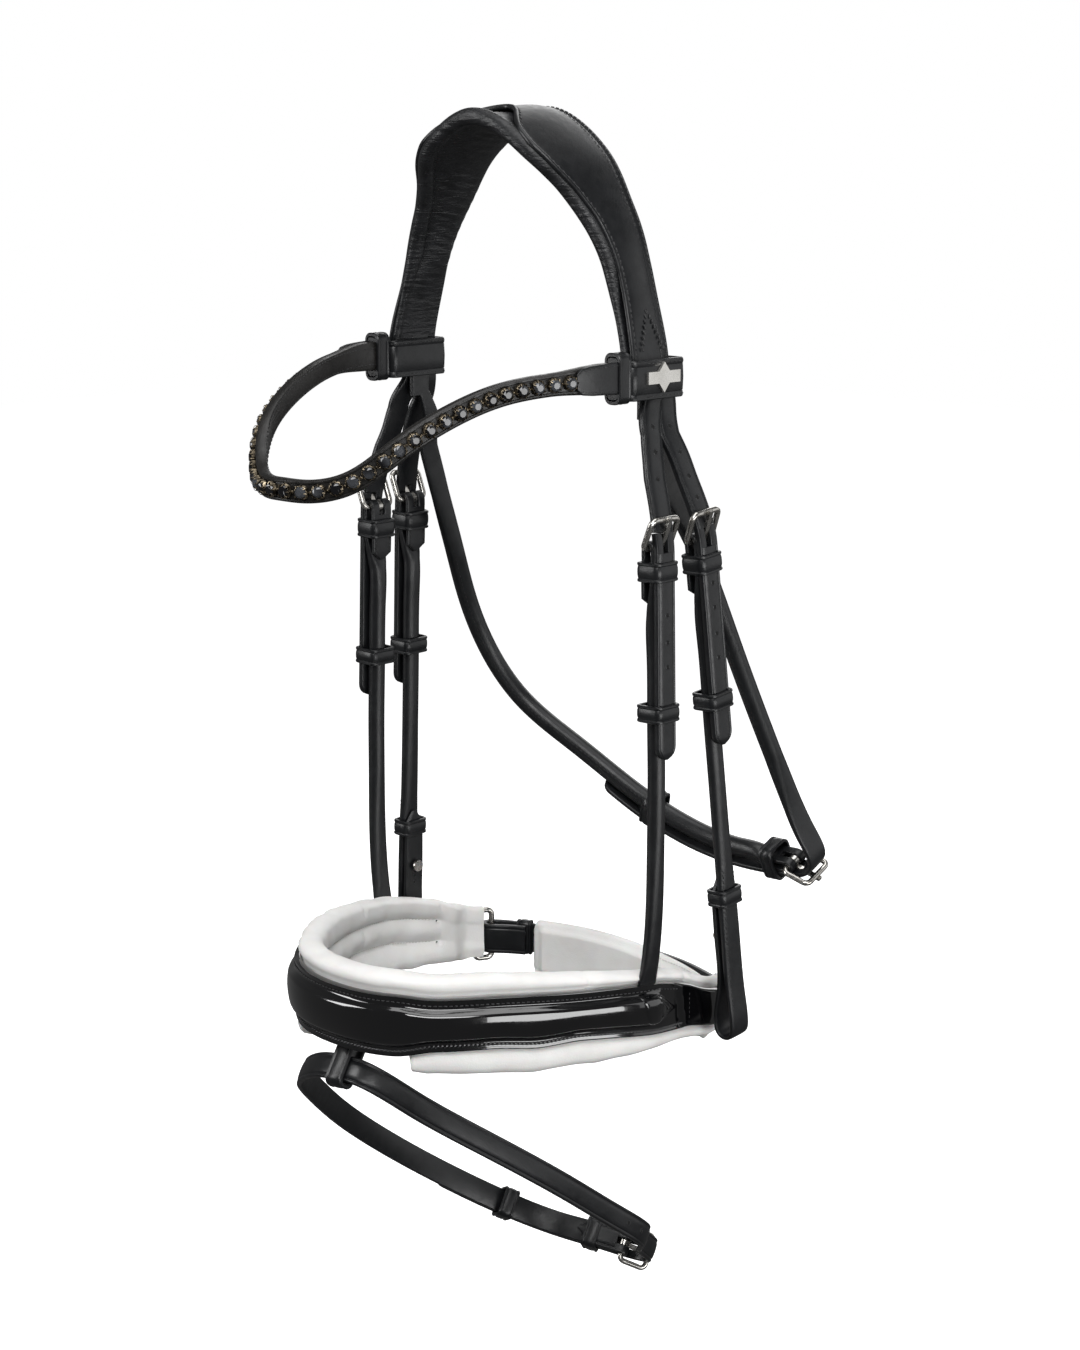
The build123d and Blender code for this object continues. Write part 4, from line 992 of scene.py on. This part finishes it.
ring_bar = np.array(RING_CENTRE[:2]) + unit(RING_DIRECTION) * RING_LENGTH / 2
line = [(66, 83.2), (76, 77.2)] + arc(ring_bar, 4.4, -128, 52, 9) + CRANK_PLAN
line = spline(whole(line[::-1])[::-1], 1.2)
shape = Shape()
line = np.c_[line, np.full(len(line), CRANK_Z)]
track = shape.sweep(line, (0, 0, 1), creased(CRANK_HEIGHT, 3.0, 0.25, 2.0))
for across in (-6.8, 6.8):
    for start in (26, track[4][-1] - 46):
        shape.stitches(track, across, 1.5, (start, start + 20), pitch=2.7)
piece("crank_strap", shape, [BLACK, THREAD], "chin_strap", sharp=40)

keeper_plane = Flat(CRANK_KEEPER, (-9, 16, 0), (0, 0, 1))
keeper_piece("crank_keeper", "chin_strap", keeper_plane, 4, ((-1.9, 1.9), 8.6), 8.5, 1.3, 1.2)

chin = spline(CHIN_PLAN, 1.5)
chin_track = track_of(np.c_[chin, np.full(len(chin), CHIN_Z)], (0, 0, 1))
chin_s = lengths(chin) - lengths(chin)[-1] / 2
across = np.linspace(-1, 1, 33)
rows = []
for point, out, s in zip(chin_track[0], chin_track[2], chin_s):
    share = abs(s) / chin_s[-1]
    half = CHIN_HALF_HEIGHT * (1 - 0.05 * share) * (1 - 0.30 * np.clip((share - 0.97) / 0.03, 0, 1))
    inset, to_end = 1 - np.abs(across), (1 - share) * chin_s[-1]
    border = smooth(inset, 0.12, 0.30) * smooth(to_end, 2.6, 6.5)
    seam = np.exp(-((inset * half - 4.2) / 0.8) ** 2)
    seam = np.maximum(seam, np.exp(-((to_end - 4.6) / 0.8) ** 2) * (inset > 0.25))
    thick = 2.4 + 2.2 * border - 0.7 * seam
    thick *= np.sqrt(np.clip(1 - (1 - inset) ** 14, 0, 1))
    thick *= 1 - 0.55 * np.clip((share - 0.975) / 0.025, 0, 1)
    spine = point + np.c_[0 * across, 0 * across, across * half - 4.0 * smooth(s / chin_s[-1], -0.6, 1.0)]
    rows.append(np.vstack([spine + out * thick[:, None], (spine - out * (thick * 0.8)[:, None])[-2:0:-1]]))
shape = Shape()
shape.grid(rows)
for across in (-12.6, 12.6):
    shape.stitches(chin_track, across, 2.5, (5, lengths(chin)[-1] - 5), pitch=2.4, size=(1.5, 0.4, 0.35))
piece("chin_pad", shape, [WHITE, PALE], "chin_strap", "white", 70, kind="soft")

# Throatlash ---------------------------------------------------------------------------------------

tilt = radians(THROAT_TILT)
throat = Flat((0, MIDDLE_Y, THROAT_Z), (1, 0, 0), (0, -sin(tilt), -cos(tilt)))
throat_buckle = turned(throat, THROAT_BUCKLE, THROAT_BUCKLE_ANGLE)
THROAT_BODY = {"body": ("headpiece", "throatlash"), "blend": ((0, MIDDLE_Y, -130), (0, MIDDLE_Y, -160))}
ROLL_STITCH = (1.8, 0.5, 0.35)


def throat_path(points):
    path = spline(points, 1.5)
    path[:, 1] += THROAT_TUCK * smooth(path[:, 2], -168, -146)
    return path


tail_sizes = [(6.0, 3.0, 5), (8.0, 3.0, 5), (12.0, 3.0, 5), (12.0, 3.0, 5)]
roll_end = throat.local(throat_buckle.at(*THROAT_TURN))
points = throat.points([(-MIDDLE_X, 12), (-MIDDLE_X, 0), (-81.2, -14), (-84, -34), *THROAT_RIGHT, roll_end])
points += throat_buckle.points([(-0.9, -20), (-0.3, -13)] + CHAPE + [(-5.9, -14), (-6.2, -20), (-6.4, -30)])
path = throat_path(points)
sizes = tail_sizes + [(11.4, 5.0, 3)] + [(10.2, 10.2, 2)] * 7 + [(10.4, 8.4, 2.2), (13, 3.0, 4)]
sizes += [(13.0, 2.3, 6)] * (len(points) - len(sizes) - 1) + [(5.0, 1.6, 5)]
marks, width, thickness, power = sized(path, points, sizes)
bar_mark = marks[len(points) - 8]
shape = Shape()
cut = (*np.searchsorted(lengths(path), (bar_mark - 9, bar_mark + 9)), STRIP)
track = shape.slotted(path, throat.z, oval(width, thickness, power), [cut])
shape.stitches(track, width * 0.36, -thickness * 0.33, (marks[4] + 8, marks[11]), pitch=2.8, size=ROLL_STITCH)
piece("throatlash", shape, [ROLLED, THREAD], **THROAT_BODY)

under_gap = THROAT_ROLL_R + BILLET_THICKNESS / 2 + 0.8
upper = [throat.local(throat_buckle.at(THROAT_TURN[0], -14))] + THROAT_RIGHT[:3:-1]
under = [offset_point(upper, k, under_gap) for k in range(1, 4)]
points = throat.points([(MIDDLE_X, 12), (MIDDLE_X, 0), (81.2, -14), (84, -36)] + THROAT_LEFT)
points += throat_buckle.points([(-24, 9), (-6, 9.5), (0.4, 1), (1.9, -8), (2.2, -16)])
points += throat.points(under + [THROAT_TIP])
path = throat_path(points)
sizes = tail_sizes + [(10.4, 7.0, 2.4), (10.0, 9.4, 2.0), (10.2, 9.0, 2.1), (12.6, 4.4, 3.2)]
sizes += [(13.4, 3.0, 6)] * (len(points) - len(sizes))
marks, width, thickness, power = sized(path, points, sizes)
width *= rounded_tip(lengths(path))
shape = Shape()
cut = (*np.searchsorted(lengths(path), (marks[10] - 1, marks[11] + 1.5)), oval(4.9, 3.0, 6))
track = shape.slotted(path, throat.z, oval(width, thickness, power), [cut], -1)
shape.stitches(track, -width * 0.36, -thickness * 0.30, (marks[4] + 4, marks[7]), pitch=2.8, size=ROLL_STITCH)
shape.holes(track, [marks[12] + d for d in (14, 27, 40, 53)], 1.5)
piece("throatlash_billet", shape, [ROLLED, THREAD, HOLE_SHADE], **THROAT_BODY)

for name, centre, angle in THROAT_KEEPERS:
    spans = ((-THROAT_ROLL_R - 0.4, THROAT_ROLL_R + 5.6), 6.9)
    keeper_piece(name, "throatlash", turned(throat, centre, angle), LYING_KEEPER_TOP, spans, KEEPER_HEIGHT,
                 KEEPER_WALL, 3.0)

# Flash strap --------------------------------------------------------------------------------------

flash_buckle = turned(flash, FLASH_BUCKLE, FLASH_BUCKLE_ANGLE)
turned_end = [(-6.4, -34), (-6.2, -22), (-5.9, -14)] + CHAPE[::-1] + [(-0.9, -13), (-2.6, -20)]
turned_end = flash_buckle.points(turned_end)
passing = flash_buckle.points([(-26, 7), (-6, 9.5), (0.4, 1), (2.1, -8), (2.2, -16)])
doubled = [offset_point(FLASH_LINE, k, 4.3) for k in range(2)]
path = spline(turned_end + flash.points(FLASH_LINE) + passing + flash.points(doubled + [FLASH_TIP]), 1.3)
run = lengths(path)
bar = passes(path, [turned_end[3 + len(CHAPE) // 2]])[0]
slot_at = passes(path, passing)
scale = np.c_[np.clip(run / 5.5, 0.16, 1) * rounded_tip(run), np.interp(run, (0, 24, 40), (0.8, 0.8, 1.0))]
cuts = [(*np.searchsorted(run, (bar - 9, bar + 9)), oval(4.8, 2.3, 5)),
        (*np.searchsorted(run, (slot_at[2] - 1.5, slot_at[3] + 1.5)), oval(4.8, 2.8, 5))]
shape = Shape()
track = shape.slotted(path, flash.z, creased(STRAP_WIDTH, FLASH_THICKNESS, 0.55, 1.7, 0.25), cuts, -1, scale)
shape.holes(track, [slot_at[0] - d for d in (4, 16.4, 28.8, 41.2)], FLASH_THICKNESS / 2 + 0.56)
shape.holes(track, [slot_at[4] + d for d in (14, 26.4, 38.8)], FLASH_THICKNESS / 2 + 0.56)
for across in (-4.8, 4.8):
    shape.stitches(track, across, FLASH_THICKNESS / 2, (3, 22), pitch=2.4, size=FINE_STITCH)
piece("flash_strap", shape, [BLACK, THREAD, HOLE_SHADE], "flash_strap")

for name, centre, angle in FLASH_KEEPERS:
    spans = ((-FLASH_THICKNESS / 2 - 2.6, FLASH_THICKNESS * 1.5 + 4), 6.9)
    keeper_piece(name, "flash_strap", turned(flash, centre, angle), LYING_KEEPER_TOP, spans, KEEPER_HEIGHT,
                 KEEPER_WALL)

# Floor, light and camera --------------------------------------------------------------------------

FLOOR_HALF, FLOOR_Z = 6, -0.9
CAMERA_PLACE, CAMERA_DOWN, CAMERA_TURN = (0.902, -0.925, 0.007), 12.2, 43.5

floor_mesh = bpy.data.meshes.new("floor")
corners = [(x * FLOOR_HALF, y * FLOOR_HALF, FLOOR_Z) for x, y in ((-1, -1), (1, -1), (1, 1), (-1, 1))]
floor_mesh.from_pydata(corners, [], [(0, 1, 2, 3)])
floor = bpy.data.objects.new("floor", floor_mesh)
bpy.context.scene.collection.objects.link(floor)
paper = Look("pale studio floor", (0.93, 0.93, 0.93), 0.85, Emission_Color=(1, 1, 1, 1),
             Emission_Strength=0.9)
paper.colours((6, 2), (0.925, 0.925, 0.925), (0.94, 0.94, 0.94))
floor_mesh.materials.append(paper.material)
floor.visible_diffuse = False
floor.visible_glossy = False

world = bpy.data.worlds.new("studio")
bpy.context.scene.world = world
world.use_nodes = True
tree = world.node_tree
sky = tree.nodes["Background"]
sky.inputs["Color"].default_value = (1, 1, 1, 1)
path_node = tree.nodes.new("ShaderNodeLightPath")
level = tree.nodes.new("ShaderNodeMapRange")
level.inputs["To Min"].default_value = 0.1
level.inputs["To Max"].default_value = 1.0
tree.links.new(path_node.outputs["Is Camera Ray"], level.inputs["Value"])
tree.links.new(level.outputs["Result"], sky.inputs["Strength"])


def softbox(name, place, target, size, power):
    data = bpy.data.lights.new(name, "AREA")
    data.shape, data.size, data.size_y, data.energy = "RECTANGLE", size[0], size[1], power
    lamp = bpy.data.objects.new(name, data)
    lamp.location = place
    lamp.rotation_euler = (Vector(target) - Vector(place)).to_track_quat("-Z", "Y").to_euler()
    bpy.context.scene.collection.objects.link(lamp)


softbox("key", (1.5, -1.7, 1.5), (0, 0, -0.25), (1.7, 1.3), 50)
softbox("left", (-1.3, -1.6, 0.5), (0, 0, -0.3), (0.5, 1.7), 20)
softbox("side", (1.6, 1.9, 0.1), (0, 0, -0.25), (2.0, 2.0), 9)
softbox("strip", (2.0, -0.12, -0.52), (0, 0, -0.42), (1.7, 0.6), 18)
softbox("top", (0.2, 0.0, 1.8), (0, 0, -0.3), (1.7, 1.7), 20)
softbox("back", (-0.9, 1.8, 0.5), (0, 0, -0.3), (1.6, 1.4), 14)

camera_data = bpy.data.cameras.new("camera")
camera_data.lens = 69.33
camera_data.sensor_width = 36
camera = bpy.data.objects.new("camera", camera_data)
camera.location = CAMERA_PLACE
camera.rotation_euler = (radians(90 - CAMERA_DOWN), 0, radians(CAMERA_TURN))
bpy.context.scene.collection.objects.link(camera)
bpy.context.scene.camera = camera
bpy.context.scene.view_settings.view_transform = "Standard"
